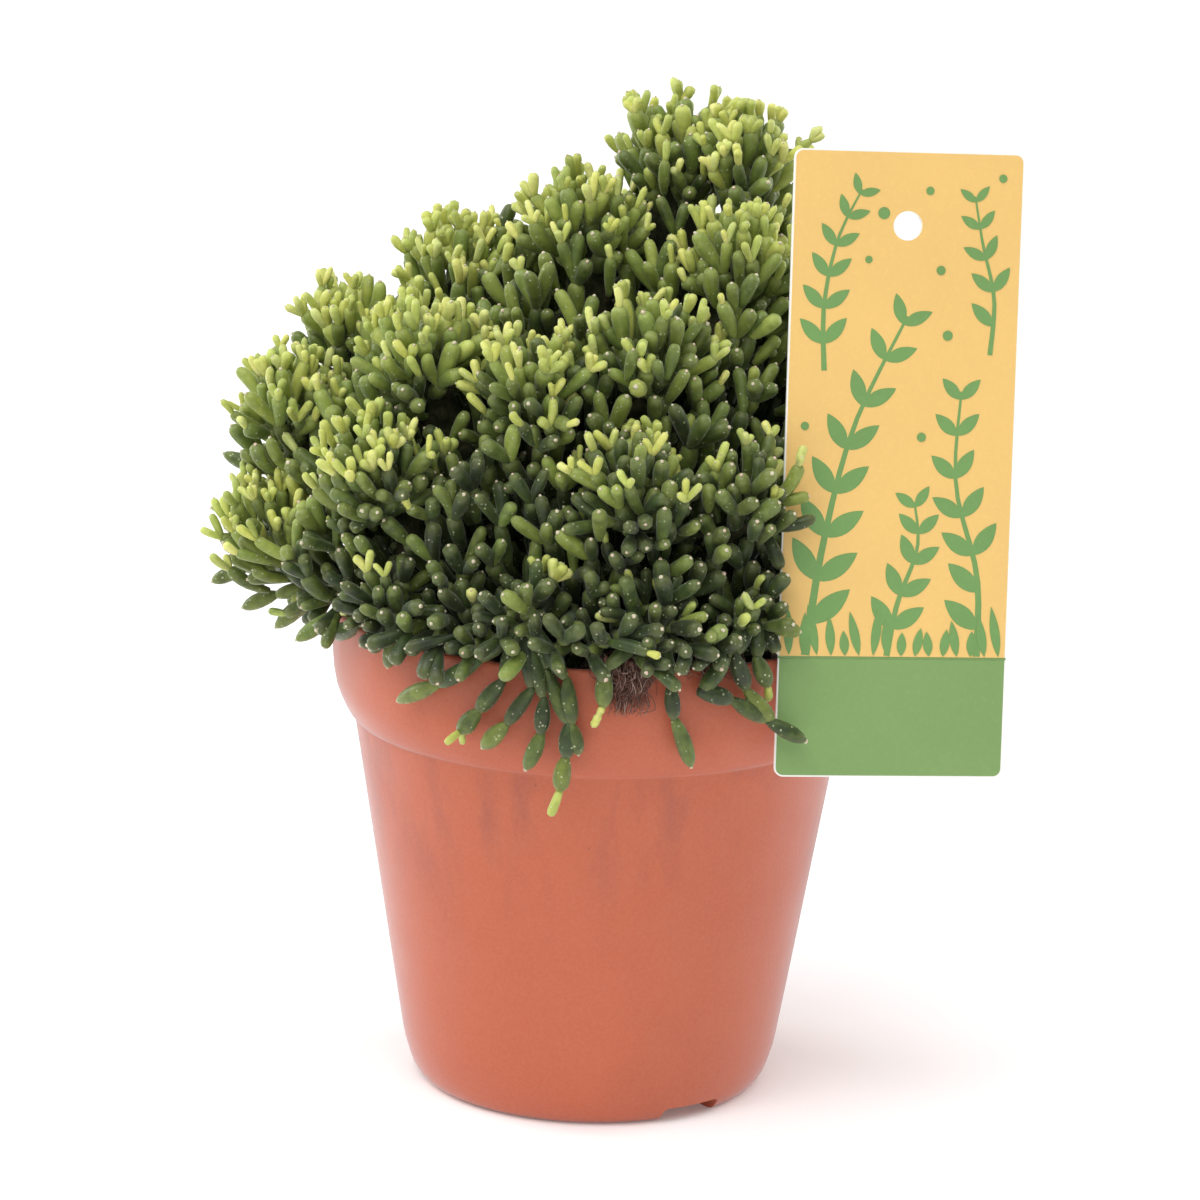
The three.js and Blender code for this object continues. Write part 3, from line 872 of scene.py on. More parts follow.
def addTongue(stack, slot):
    # the tongue goes back over the rim and down inside the wall
    reach, thick = label["tongueReach"], label["thick"]
    drop = label["tongueFoot"] - label["crease"][2]
    side = [
        (-0.1, 0), (reach - 0.8, 0), (reach - 0.2, -0.2), (reach, -0.8), (reach, drop),
        (reach - thick, drop), (reach - thick, -1.2), (reach - thick - 0.3, -thick), (-0.1, -thick),
    ]
    count = len(side)
    turn = math.radians(label["turn"])
    ends = []
    for across in (label["tongueInset"], label["tongueInset"] + label["tongueWidth"]):
        for back, rise in side:
            x = across * math.cos(turn) - back * math.sin(turn)
            y = across * math.sin(turn) + back * math.cos(turn)
            ends.append((labelOrigin[0] + x, labelOrigin[1] + y, labelOrigin[2] + thick + rise))
    flat = flatFaces([side], True)
    corners = flat + [(a + count, c + count, b + count) for a, b, c in flat]
    for i in range(count):
        after = (i + 1) % count
        corners += [(i, i + count, after + count), (i, after + count, after)]
    addToStack(stack, np.array(ends), np.array(corners), slot)


def makeLabel():
    chance = random.Random(label["seed"])
    finishes = [
        printedMaterial("yellowPrint", label["yellow"], 0.05),
        printedMaterial("greenPrint", label["green"], 0.07),
        printedMaterial("leafPrint", label["printGreen"], 0.12),
        printedMaterial("whiteCard", label["card"], 0.05),
    ]
    yellow, green, leafGreen, card = range(4)
    stack = newStack()
    width, half, gap = label["width"], label["thick"] / 2, 0.3
    holePlace = (width / 2, label["height"] - label["below"] - label["holeDrop"])
    upper, lower = sheetLoops(0, gap)
    hole = circle(*holePlace, label["holeRadius"], 40)
    addPanel(stack, [upper, hole], -half, half - 0.05, card, card)
    addPanel(stack, [lower], -half, half - 0.05, card, card)
    # the printed faces stop just inside the card's white edge
    upperFace, lowerFace = sheetLoops(label["whiteEdge"], gap)
    holeFace = circle(*holePlace, label["holeRadius"] + 0.2, 40)
    addPanel(stack, [upperFace, holeFace], half - 0.2, half, yellow, yellow)
    addPanel(stack, [lowerFace], half - 0.2, half, green, green)
    # the crease between them is a shallow groove
    groove = [(0, -gap), (width, -gap), (width, gap), (0, gap)]
    addPanel(stack, [groove], -half, half - 0.16, green, card)
    prints = []

    def addPrint(outline):
        # each shape lies a hair higher than the last, so that none share a face
        prints.append(outline)
        addPanel(stack, [outline], half - 0.1, half + 0.04 + 0.0012 * len(prints), leafGreen, leafGreen)

    printLeaves(addPrint, chance)
    addTongue(stack, card)
    piece = meshFromStack("cardLabel", stack, finishes, 30)
    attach(piece, "root")
    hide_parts("plant_label")


makeLabel()
print("the label is made")


# The plant: 27 cuttings, each a head of joints round a centre.

plant = {
    "fanPoint": (0, 0, 62),
    "seed": 20251,
    "coreFoot": 104.2,
    "coreFootReach": 54.5,
    "coreDepth": 15.0,
    "valleyDrop": 16.0,
    "valleySlope": 0.62,
    "valleyReach": 95,
    "valleyDepth": (3.0, 9.0),
    "parentDepth": 11.5,
    "deepestShare": 0.62,
    "coveredShare": 0.42,
    "lowestTip": 106,
    "overhangFrom": 58,
    "lowestSlope": {"inside": -0.5, "overhang": -0.8},
    "parentSpacing": 6.3,
    "packing": 0.87,
    "parentAge": (0.80, 1.0),
    "parentFade": 0.16,
    "outwardPull": 0.25,
    "parentLength": (8.5, 13.5),
    "parentRadius": (1.6, 2.25),
    "childLength": (6.5, 12.5),
    "childRadius": (1.3, 1.95),
    "childLean": (22, 50),
    "sproutLength": (3.4, 6.6),
    "sproutRadius": (0.82, 1.12),
    "sproutLean": (26, 58),
    "loneSproutLean": (8, 30),
    "fringeStep": 3,
    "fringeFoot": 54.0,
    "fringeHeight": (113.5, 117.0),
    "fringeSway": (-0.6, 0.6),
    "fringeRise": (-0.28, 0.15),
    "fringeFromHead": 26,
    "fringeLength": (8.5, 11.5),
    "fringeRadius": (1.6, 1.9),
    "fringeAge": (0.7, 0.95),
    "fringeReach": 71.0,
    "lowHeads": 135.0,
    "fillSpacing": 3.8,
    "fillReach": 100,
    "fillSlope": 0.25,
    "fillRoom": 2.0,
    "fillAge": (0.8, 1.0),
    "fillFade": 0.25,
    "fillTries": 8,
    "fillLength": (8, 12),
    "fillRadius": (1.3, 1.8),
    "thinTries": 26,
    "thinLength": (7, 11),
    "thinRadius": (1.4, 1.9),
    "thinAge": (0.6, 0.95),
    "trailStep": 13.5,
    "trailRadius": (1.8, 2.1),
    "trailAge": (0.84, 0.99),
    "trailTipAge": (0.66, 0.84),
    "sideRadius": (1.7, 2.0),
    "sideAge": (0.55, 0.85),
    "tightness": 0.86,
    "clearance": 0.4,
    "frontReach": -70.6,
    "backReach": 79.0,
    "darkFoot": 112.0,
    "lightTop": 182.0,
    "openSide": 40.0,
    "lift": 0.62,
    # joint colours from youngest to oldest; the darkest also serve as painted shade in the plant's skirt
    "youngest": (0.76, 0.75, 0.28),
    "young": (0.58, 0.61, 0.15),
    "middle": (0.25, 0.31, 0.062),
    "old": (0.048, 0.074, 0.016),
    "oldest": (0.022, 0.034, 0.011),
    "tip": (0.40, 0.44, 0.14),
    "areole": (0.62, 0.66, 0.42),
    "wool": (0.70, 0.65, 0.47),
    "pinkWool": (0.74, 0.56, 0.44),
    "woolShade": (0.38, 0.30, 0.20),
}

# centre, reach, and how much young growth the head carries
heads = [
    (15, 14, 205, 21, 0.66), (29, 4, 205, 18, 0.72), (-5, -2, 192, 19, 0.75), (28, -14, 187, 19, 0.85),
    (-33, 14, 178, 19, 0.9), (-57, 10, 166, 17, 0.95), (-40, -20, 165, 19, 1.0), (-70, -4, 152, 17, 0.9),
    (-72, -8, 126, 17, 0.9), (-48, -36, 144, 18, 0.75), (-15, -36, 163, 18, 0.7), (9, -30, 170, 19, 0.6),
    (7, -51, 145, 18, 0.5), (31, -44, 144, 17, 0.5), (-45, -41, 120, 13, 0.35), (-16, -58, 121, 13, 0.3),
    (12, -57, 121, 13, 0.3), (33, -48, 121, 12, 0.3), (62, -4, 150, 18, 0.5), (55, 16, 180, 19, 0.7),
    (45, 45, 150, 19, 0.5), (12, 38, 184, 20, 0.7), (-20, 46, 160, 20, 0.6), (-54, 34, 144, 18, 0.5),
    (10, 62, 134, 17, 0.4), (-32, 62, 124, 14, 0.35), (64, 28, 124, 15, 0.35),
]

# stems that trail over the rim: the head they come from, and (degrees right of the front, z, distance)
trails = [
    (15, ((-24, 111, 63.6), (-33, 104.2, 63.6), (-43, 98.6, 63.6))),
    (15, ((-19, 107, 63.6), (-24, 99.7, 63.6), (-28, 94.4, 63.2))),
    (15, ((-13, 106, 63.6), (-18, 97.6, 63.6), (-23, 91.8, 63))),
    (15, ((-10.5, 104, 63.6), (-11, 96.1, 63.4), (-14, 88, 62.5))),
    (15, ((-6, 108.6, 63.6), (-5, 98.7, 63.6), (-3.5, 92.2, 62.8))),
    (15, ((-5.5, 98.8, 63.6), (-6, 91, 63), (-7, 83.6, 62.5))),
    (16, ((1, 111.2, 64), (1, 102.8, 63.6))),
    (16, ((14, 108, 63.6), (15, 100, 63.6), (19, 89.1, 62.6))),
    (17, ((25, 113, 64), (20, 106, 63.6), (27, 103.5, 63.8), (34, 98.5, 65.5), (40, 94, 70))),
    (17, ((27, 113.5, 64), (30, 105.3, 63.8), (35, 98.3, 66))),
    (17, ((32, 112, 63.8), (34.5, 105.7, 64.5))),
    (14, ((-44, 112, 63.8), (-46, 105.5, 63.6))),
    (14, ((-56, 112.5, 64), (-66, 107.5, 63.8))),
    (24, ((176, 112, 64), (170, 103, 63.6), (166, 94, 63))),
    (25, ((205, 112, 64), (212, 104, 63.6), (216, 95, 63))),
    (26, ((108, 112.5, 64), (104, 104, 63.6), (99, 95, 63))),
]
loneSprig = (1, (46.5, 0, 218))

# single joints that reach out low on the left: the head, then both ends
sideJoints = [
    (9, (-64, -5, 114), (-73, -3, 110.5)), (9, (-72, -3.2, 110.9), (-80.2, -1, 106.9)),
    (9, (-62, -8, 113.6), (-72.6, -3.5, 103.2)), (9, (-72, -2, 119), (-80, 0, 115.5)),
    (9, (-79.2, -0.2, 115.9), (-87.2, 0.8, 112.3)), (8, (-76, 2, 131), (-87.8, 4.2, 128.5)),
    (8, (-74, 5, 137), (-85.4, 7, 140.5)), (15, (-57, -27, 113.5), (-66.5, -29, 107)),
]

# where a gap between heads would let the background through
thinPlaces = [
    (36, 0, 177), (34, 6, 174), (38, 4, 171), (40, 10, 176), (-18, 8, 189), (-20, 9, 191), (-17, 6, 193),
]


def stemMaterial():
    material, tree, shader = newMaterial("cactusSkin")
    place = objectPlace(tree)
    ageAndShade = attributeOf(tree, "ageAndShade")
    tone = attributeOf(tree, "tone")
    along = attributeOf(tree, "along")
    blotch = noiseAt(tree, place, 420, 4, 0.6)
    # the joints' colour follows their age with painted light and shade mixed in, so the dark old end of the
    # ramp also paints the shade of the plant's skirt
    mixed = maths(tree, "ADD", ageAndShade, rangeOf(tree, blotch, 0.3, 0.7, -0.09, 0.09), True)
    colour = rampOf(tree, mixed, [
        (0.0, plant["youngest"]), (0.16, plant["young"]), (0.5, plant["middle"]),
        (0.86, plant["old"]), (1.0, plant["oldest"]),
    ])
    # each joint is a little darker or greyer than the next, and yellower at its tip
    tint = rampOf(tree, tone, [(0.0, (0.66, 0.74, 0.70)), (0.5, (1.0, 0.97, 0.85)), (1.0, (0.92, 1.0, 1.0))])
    colour = mixColours(tree, 1.0, colour, tint, "MULTIPLY")
    tipWarmth = rangeOf(tree, along, 0.72, 1.0, 0, 0.17)
    colour = mixColours(tree, tipWarmth, colour, plant["tip"])
    # small pale areoles along the sides
    spot = rangeOf(tree, cellsAt(tree, place, 780), 0.24, 0.13)
    rare = rangeOf(tree, noiseAt(tree, place, 600, 0), 0.48, 0.54)
    spot = times(tree, spot, rare)
    colour = mixColours(tree, times(tree, spot, 0.6), colour, plant["areole"])
    join(tree, colour, shader.inputs["Base Color"])
    rough = rangeOf(tree, noiseAt(tree, place, 800, 3), 0.3, 0.7, 0.30, 0.46)
    join(tree, rough, shader.inputs["Roughness"])
    skin = bumpOf(tree, noiseAt(tree, place, 1100, 4, 0.6), 0.4, 0.0003)
    join(tree, bumpOf(tree, spot, 0.5, 0.00025, skin), shader.inputs["Normal"])
    setInputs(shader, Specular_IOR_Level=0.36, Sheen_Weight=0.18, Sheen_Roughness=0.45,
              Sheen_Tint=(0.92, 1.0, 0.84, 1))
    setInputs(shader, Subsurface_Weight=0.15, Subsurface_Scale=1.0,
              Subsurface_Radius=(0.0018, 0.0026, 0.0006))
    return material


def woolMaterial():
    material, tree, shader = newMaterial("areoleWool")
    place = objectPlace(tree)
    fluff = noiseAt(tree, place, 2600, 3, 0.7)
    pink = noiseAt(tree, place, 120, 1)
    colour = mixColours(tree, rangeOf(tree, pink, 0.5, 0.68), plant["wool"], plant["pinkWool"])
    colour = mixColours(tree, rangeOf(tree, fluff, 0.35, 0.6, 0.45, 0), colour, plant["woolShade"])
    join(tree, colour, shader.inputs["Base Color"])
    setInputs(shader, Roughness=0.85)
    join(tree, bumpOf(tree, fluff, 0.6, 0.0003), shader.inputs["Normal"])
    return material


def shadeMaterial():
    # painted shade: near-black with dim brown mottling, for the deep gaps inside the plant where little light
    # reaches
    material, tree, shader = newMaterial("paintedShadeCore")
    place = objectPlace(tree)
    coarse = noiseAt(tree, place, 240, 5, 0.6)
    colour = rampOf(tree, coarse, [
        (0.32, (0.006, 0.006, 0.004)), (0.48, (0.016, 0.020, 0.008)),
        (0.58, (0.034, 0.034, 0.016)), (0.70, (0.075, 0.056, 0.036)),
    ])
    join(tree, colour, shader.inputs["Base Color"])
    setInputs(shader, Roughness=0.9, Specular_IOR_Level=0.08)
    join(tree, bumpOf(tree, coarse, 0.9, 0.002), shader.inputs["Normal"])
    return material


fanPoint = Vector(plant["fanPoint"])
olderShape = (np.array((0, 0.03, 0.11, 0.27, 0.48, 0.66, 0.80, 0.90, 0.965, 1.0)),
              np.array((0, 0.48, 0.58, 0.80, 0.95, 1.0, 0.98, 0.88, 0.60, 0)))
trailShape = (np.array((0, 0.025, 0.10, 0.28, 0.50, 0.70, 0.85, 0.94, 0.98, 1.0)),
              np.array((0, 0.42, 0.56, 0.86, 1.0, 0.96, 0.76, 0.50, 0.30, 0)))
innerShape = (np.array((0, 0.10, 0.36, 0.68, 0.92, 1.0)), np.array((0, 0.62, 0.92, 1.0, 0.70, 0)))
sproutShape = (np.array((0, 0.04, 0.25, 0.55, 0.80, 0.94, 1.0)),
               np.array((0, 0.68, 0.84, 0.98, 1.0, 0.74, 0)))
jointKinds = {
    # outline, sides, and how often the tip is bare of wool
    "parent": (olderShape, 8, 0.2),
    "child": (olderShape, 8, 0.2),
    "trail": (trailShape, 8, 0),
    "side": (trailShape, 8, 0),
    "stem": (innerShape, 6, 0.2),
    "sprout": (sproutShape, 7, 0.6),
}
bareFork = 0.85
chance = random.Random(plant["seed"])
grown = []
grownNear = {}
cell = 5.0


def headFacts():
    made = []
    for x, y, z, reach, youth in heads:
        centre = Vector((x, y, z))
        outward = centre - fanPoint
        distance = outward.length
        made.append({"centre": centre, "reach": reach, "youth": youth, "distance": distance,
                     "outward": outward.normalized()})
    return made


cuttings = headFacts()


def valleySurface(direction):
    total = weights = 0.0
    for head in cuttings:
        weight = (0.02 + head["outward"].angle(direction)) ** -4
        total += weight * head["distance"]
        weights += weight
    return total / weights


def ballSurface(head, direction, radius):
    along = head["distance"] * head["outward"].dot(direction)
    depth = radius ** 2 - head["distance"] ** 2 + along ** 2
    return along + math.sqrt(depth) if depth > 0 else 0.0


def insideFan(head, direction, margin):
    for other in cuttings:
        if other is head:
            continue
        facing = (head["outward"] - other["outward"]).normalized()
        if direction.dot(facing) <= margin:
            return False
    return True


def clearOfPot(point, ball):
    radius = math.hypot(point.x, point.y)
    room = ball + plant["clearance"]
    if point.z > pot["height"] + room or radius > pot["rimRadius"] + room:
        return True
    return radius < pot["rimInner"] - 0.5 - room and point.z > soil["top"] + room


def onCard(point):
    # across, up and out of the card from the left end of its crease
    away = point - labelOrigin
    return away.dot(labelSide), away.dot(labelUp), away.dot(labelOut)


def clearOfLabel(point, ball):
    x, y, z = onCard(point)
    room = ball + plant["clearance"]
    beside = max(-x, x - label["width"], 0)
    above = max(y - label["height"] + label["below"], -label["below"] - y, 0)
    card = math.sqrt(beside ** 2 + above ** 2 + max(abs(z) - label["thick"] / 2, 0) ** 2)
    inset, wide = label["tongueInset"], label["tongueWidth"]
    tongue = math.sqrt(max(x - inset - wide, inset - x, 0) ** 2 + max(y - 2, 0) ** 2
                       + max(-z - label["tongueReach"] - 3, z, 0) ** 2)
    # nothing shows through the punched hole
    behind = point - labelHole
    sight = behind - sightLine * behind.dot(sightLine)
    return card > room and tongue > room and sight.length > label["holeRadius"] + ball


def hidesTuft(point):
    across = math.degrees(math.atan2(point.x, -point.y))
    beside = abs(across - tuft["place"]) < 5.5
    return beside and point.z < 109.5 and math.hypot(point.x, point.y) > pot["rimRadius"]


labelHole = (labelOrigin + labelSide * (label["width"] / 2)
             + labelUp * (label["height"] - label["below"] - label["holeDrop"]))
slope = math.radians(stageFacts["elevation"])
sightLine = Vector((0, math.cos(slope), -math.sin(slope)))

# where along a joint its room is measured, and how wide it is there
ballPlaces = ((0.32, 0.80), (0.56, 0.98), (0.80, 0.95), (0.95, 0.65))


def cellOf(point):
    return int(point.x // cell), int(point.y // cell), int(point.z // cell)


def nearby(point):
    # the balls of the joints already grown close to a point
    cx, cy, cz = cellOf(point)
    for ix in (cx - 1, cx, cx + 1):
        for iy in (cy - 1, cy, cy + 1):
            for iz in (cz - 1, cz, cz + 1):
                yield from grownNear.get((ix, iy, iz), ())


def jointFits(start, end, radius, parent):
    balls = []
    for t, share in ballPlaces:
        point = start.lerp(end, t)
        ball = radius * share
        if not plant["frontReach"] + ball < point.y < plant["backReach"] - ball:
            return None
        if not clearOfPot(point, ball) or not clearOfLabel(point, ball) or hidesTuft(point):
            return None
        balls.append((point, ball, t))
    tight = plant["tightness"]
    for point, ball, t in balls:
        for near, size, owner, ownerParent, share in nearby(point):
            if owner == parent or (ownerParent == parent and (share < 0.6 or t < 0.6)):
                continue
            if (near - point).length < (ball + size) * tight:
                return None
    return balls


def addJoint(head, start, end, radius, ageAndShade, kind, parent=-1, free=False):
    balls = jointFits(start, end, radius, parent)
    if balls is None and not free:
        return None
    number = len(grown)
    for point, ball, t in balls or [(start.lerp(end, t), radius * s, t) for t, s in ballPlaces]:
        grownNear.setdefault(cellOf(point), []).append((point, ball, number, parent, t))
    grown.append({"head": head, "start": start, "end": end, "radius": radius, "ageAndShade": ageAndShade, "kind": kind,
                  "direction": (end - start).normalized(), "children": 0, "parent": parent})
    return number


def roomAhead(head, start, way):
    # how far a joint may grow from start before it leaves the head's ball
    away = start - head["centre"]
    along = away.dot(way)
    depth = along ** 2 - away.length_squared + (head["reach"] + 0.5) ** 2
    return math.sqrt(depth) - along if depth > 0 else 0.0


def lightAt(point):
    # from 0 in the plant's shaded skirt to 1 at its crown and far out on its left; it steers growth, and it
    # also paints light and shade into the joints' colour: lighter where lit, darker in the skirt
    share = (point.z - plant["darkFoot"]) / (plant["lightTop"] - plant["darkFoot"])
    share += max(0.0, -point.x - plant["openSide"]) / 58
    return min(1.0, max(0.0, share))


def scatter(size):
    return Vector((chance.uniform(-1, 1), chance.uniform(-1, 1), chance.uniform(-1, 1))) * size


def between(key):
    return chance.uniform(*plant[key])


def upward(size):
    return Vector((0, 0, size))


def headToward(way):
    return min(range(len(cuttings)), key=lambda i: cuttings[i]["outward"].angle(way))


def evenDirections(count):
    for i in range(count):
        height = 1 - (2 * i + 1) / count
        level = math.sqrt(1 - height * height)
        turn = i * 2.39996
        yield Vector((level * math.cos(turn), level * math.sin(turn), height))


def leaned(direction, around, angle):
    helper = Vector((0, 0, 1)) if abs(direction.z) < 0.9 else Vector((1, 0, 0))
    side = direction.cross(helper).normalized()
    other = direction.cross(side)
    sideways = side * math.cos(around) + other * math.sin(around)
    return (direction * math.cos(angle) + sideways * math.sin(angle)).normalized()


def headTips():
    # places under each head's surface for the tips of its older joints
    depth, spacing, pull = plant["parentDepth"], plant["parentSpacing"], plant["outwardPull"]
    tasks = []
    for number, head in enumerate(cuttings):
        ball = head["reach"] - min(depth, head["reach"] * plant["deepestShare"])
        overhangs = math.hypot(head["centre"].x, head["centre"].y) > plant["overhangFrom"]
        lowest = plant["lowestSlope"]["overhang" if overhangs else "inside"]
        for way in evenDirections(int(4 * math.pi * ball ** 2 / (spacing ** 2 * plant["packing"]))):
            way = (way + scatter(0.16)).normalized()
            tip = head["centre"] + way * ball
            if way.dot(head["outward"]) < lowest:
                continue
            hidden = any(other is not head
                         and (tip - other["centre"]).length < other["reach"] * plant["coveredShare"]
                         for other in cuttings)
            if hidden or tip.z < plant["lowestTip"]:
                continue
            rise = upward(plant["lift"] * lightAt(tip))
            direction = way * (1 - pull) + head["outward"] * pull + rise + scatter(0.24)
            direction = direction.normalized()
            tasks.append((number, tip, direction, False))
    return tasks


def valleyTips():
    # the same for the valleys between heads
    depth, spacing = plant["parentDepth"], plant["parentSpacing"]
    tasks = []
    for way in evenDirections(int(4 * math.pi * plant["valleyReach"] ** 2 / (spacing * 1.1) ** 2)):
        way = (way + scatter(0.03)).normalized()
        if way.z < plant["valleySlope"]:
            continue
        if any(ballSurface(head, way, head["reach"] - depth + 1.5) > 0 for head in cuttings):
            continue
        tip = fanPoint + way * (valleySurface(way) - between("valleyDepth"))
        tasks.append((headToward(way), tip, (way + scatter(0.2)).normalized(), True))
    return tasks


def growParents():
    tasks = headTips() + valleyTips()
    chance.shuffle(tasks)
    for number, tip, direction, valley in tasks:
        length, radius = between("parentLength"), between("parentRadius")
        # painted shade: older joints in the shaded skirt take a darker colour, lit ones a lighter one
        ageAndShade = between("parentAge") - plant["parentFade"] * lightAt(tip)
        made = addJoint(number, tip - direction * length, tip, radius, ageAndShade, "parent")
        if made is not None:
            grown[made]["valley"] = valley


def growFringe():
    # older joints that lean out over the rim from just inside it
    low = [n for n, head in enumerate(cuttings) if head["centre"].z < plant["lowHeads"]]
    away = plant["fringeFoot"]
    tasks = []
    for degrees in range(-178, 182, plant["fringeStep"]):
        for _ in range(2):
            turn = front(degrees + chance.uniform(-2, 2))
            foot = Vector((away * math.cos(turn), away * math.sin(turn), between("fringeHeight")))
            number = min(low, key=lambda n: (cuttings[n]["centre"] - foot).length)
            if (cuttings[number]["centre"] - foot).length > plant["fringeFromHead"]:
                continue
            out = Vector((math.cos(turn), math.sin(turn), 0))
            side = Vector((-out.y, out.x, 0)) * between("fringeSway")
            way = (out + side + upward(between("fringeRise"))).normalized()
            tasks.append((number, foot, way))
    chance.shuffle(tasks)
    for number, foot, way in tasks:
        end = foot + way * between("fringeLength")
        made = addJoint(number, foot, end, between("fringeRadius"), between("fringeAge"), "parent")
        if made is not None:
            grown[made]["fringe"] = True


def growFill():
    # single joints in the dark gaps, so that no bare core shows
    added = 0
    for way in evenDirections(int(4 * math.pi * (plant["fillReach"] / plant["fillSpacing"]) ** 2)):
        if way.z < plant["fillSlope"]:
            continue
        far, number = max((ballSurface(head, way, head["reach"] - 3.0), n) for n, head in enumerate(cuttings))
        if far == 0:
            if way.z < plant["valleySlope"]:
                continue
            number = headToward(way)
            far = valleySurface(way) - 2.0
        point = fanPoint + way * far
        if any((place - point).length < size + plant["fillRoom"] for place, size, *_ in nearby(point)):
            continue
        outer = (point - cuttings[number]["centre"]).normalized()
        rise = upward(plant["lift"] * 0.8 * lightAt(point))
        normal = (outer * 0.6 + way * 0.5 + rise + scatter(0.3)).normalized()
        for attempt in range(plant["fillTries"]):
            drop = chance.uniform(0, 3) + attempt * 1.2
            lean = (normal + scatter(0.10 * attempt)).normalized()
            end = point - normal * drop
            length = between("fillLength") - attempt * 0.5
            # painted shade, as for the older joints: darker in the shaded skirt, lighter where lit
            ageAndShade = between("fillAge") - plant["fillFade"] * lightAt(end)
            made = addJoint(number, end - lean * length, end, between("fillRadius"), ageAndShade, "child")
            if made is not None:
                added += 1
                break
    print("joints added in gaps:", added)


def growChild(number, turn, light, outer):
    # one younger joint on an older one, or None where it has no room
    parent = grown[number]
    head = cuttings[parent["head"]]
    fringe = parent.get("fringe")
    lit = max(0.0, outer.z) * head["youth"]
    way = leaned(parent["direction"], turn[1], turn[0])
    if not fringe:
        way = (way + outer * 0.25 + upward(0.08 + plant["lift"] * light)).normalized()
    start = parent["end"] - parent["direction"] * parent["radius"] * 0.55
    length = between("childLength") * (1 - 0.15 * lit)
    if not parent.get("valley") and not fringe:
        spare = max(-3.0, min(1.6, chance.gauss(0, 1.3))) - chance.uniform(0, 3.0 * lit)
        length = min(length, roomAhead(head, start, way) + spare)
    if fringe:
        ahead = start + way * length
        if math.hypot(ahead.x, ahead.y) > plant["fringeReach"] or ahead.z < 98:
            return None
    if length < 4.2:
        return None
    radius = min(between("childRadius"), length * 0.24)
    # the joint's colour mixes its age with painted light and shade: lighter where lit and on the head's upper
    # side, more so on heads with young growth, and darker in the shaded skirt
    ageAndShade = 0.95 - 0.64 * light * head["youth"] * (0.7 + 0.3 * outer.z)
    ageAndShade += chance.gauss(0, 0.08) - (0.3 if chance.random() < 0.16 else 0)
    ageAndShade = min(0.98, max(0.22, ageAndShade))
    return addJoint(parent["head"], start, start + way * length, radius, ageAndShade, "child", number)


def growChildren():
    # each older joint forks into a whorl of younger ones
    parents = [n for n, joint in enumerate(grown) if joint["kind"] in ("parent", "trail")]
    chance.shuffle(parents)
    for number in parents:
        parent = grown[number]
        outer = (parent["end"] - cuttings[parent["head"]]["centre"]).normalized()
        wanted = chance.choice((2, 3, 3, 4)) if parent["kind"] == "parent" else 0
        around = chance.uniform(0, 2 * math.pi)
        light = lightAt(parent["end"])
        for i in range(wanted):
            for attempt in range(4):
                angle = math.radians(between("childLean"))
                turn = around + (i + attempt * 0.28) * 2 * math.pi / wanted + chance.uniform(-0.35, 0.35)
                if growChild(number, (angle, turn), light, outer) is not None:
                    parent["children"] += 1
                    break


def growSprouts():
    # young yellow-green joints at the ends of many branches
    tips = [n for n, joint in enumerate(grown) if joint["children"] == 0]
    chance.shuffle(tips)
    for number in tips:
        parent = grown[number]
        head = cuttings[parent["head"]]
        trailing = parent["kind"] == "trail"
        outer = (parent["end"] - head["centre"]).normalized()
        light = lightAt(parent["end"])
        likely = 0.16 + 0.62 * max(0.0, 0.55 + outer.z * 0.6) * min(1.0, head["youth"])
        likely = 0.3 if trailing else likely * (0.45 + 0.55 * light)
        if chance.random() > likely:
            continue
        wanted = chance.choice((1, 2, 2, 3, 3, 4)) if outer.z > 0.1 else chance.choice((1, 1, 2))
        around = chance.uniform(0, 2 * math.pi)
        vigour = chance.uniform(0.8, 1.15)
        ageAndShade = chance.uniform(0.03, 0.3)
        lean = "loneSproutLean" if wanted == 1 else "sproutLean"
        start = parent["end"] - parent["direction"] * parent["radius"] * 0.4
        for i in range(wanted):
            for attempt in range(3):
                angle = math.radians(between(lean))
                turn = around + (i + attempt * 0.3) * 2 * math.pi / wanted
                rise = upward(0.12 + plant["lift"] * light)
                way = (leaned(parent["direction"], turn, angle) + rise).normalized()
                length = between("sproutLength") * vigour
                if not trailing and not parent.get("valley"):
                    length = min(length, roomAhead(head, start, way) + 0.6)
                if length < 2.4:
                    continue
                radius = min(between("sproutRadius") * vigour, length * 0.3)
                ownAge = min(0.45, max(0.0, ageAndShade + chance.gauss(0, 0.05)))
                end = start + way * length
                if addJoint(parent["head"], start, end, radius, ownAge, "sprout", number) is not None:
                    parent["children"] += 1
                    break


def growTrails():
    for number, places in trails:
        last = cuttings[number]["centre"]
        before = -1
        for degrees, height, distance in places:
            turn = front(degrees)
            point = Vector((distance * math.cos(turn), distance * math.sin(turn), height))
            steps = max(1, round((point - last).length / plant["trailStep"]))
            start = last
            for step in range(steps):
                end = last.lerp(point, (step + 1) / steps)
                way = (end - start).normalized()
                foot = start - way * 0.9 if before >= 0 else start
                radius, ageAndShade = between("trailRadius"), between("trailAge")
                before = addJoint(number, foot, end, radius, ageAndShade, "trail", before, True)
                # joints that others grow from carry no sprouts of their own
                grown[before]["inner"] = step < steps - 1
                start = end
            last = point
            grown[before]["inner"] = (degrees, height, distance) != places[-1]
        grown[before]["ageAndShade"] = between("trailTipAge")


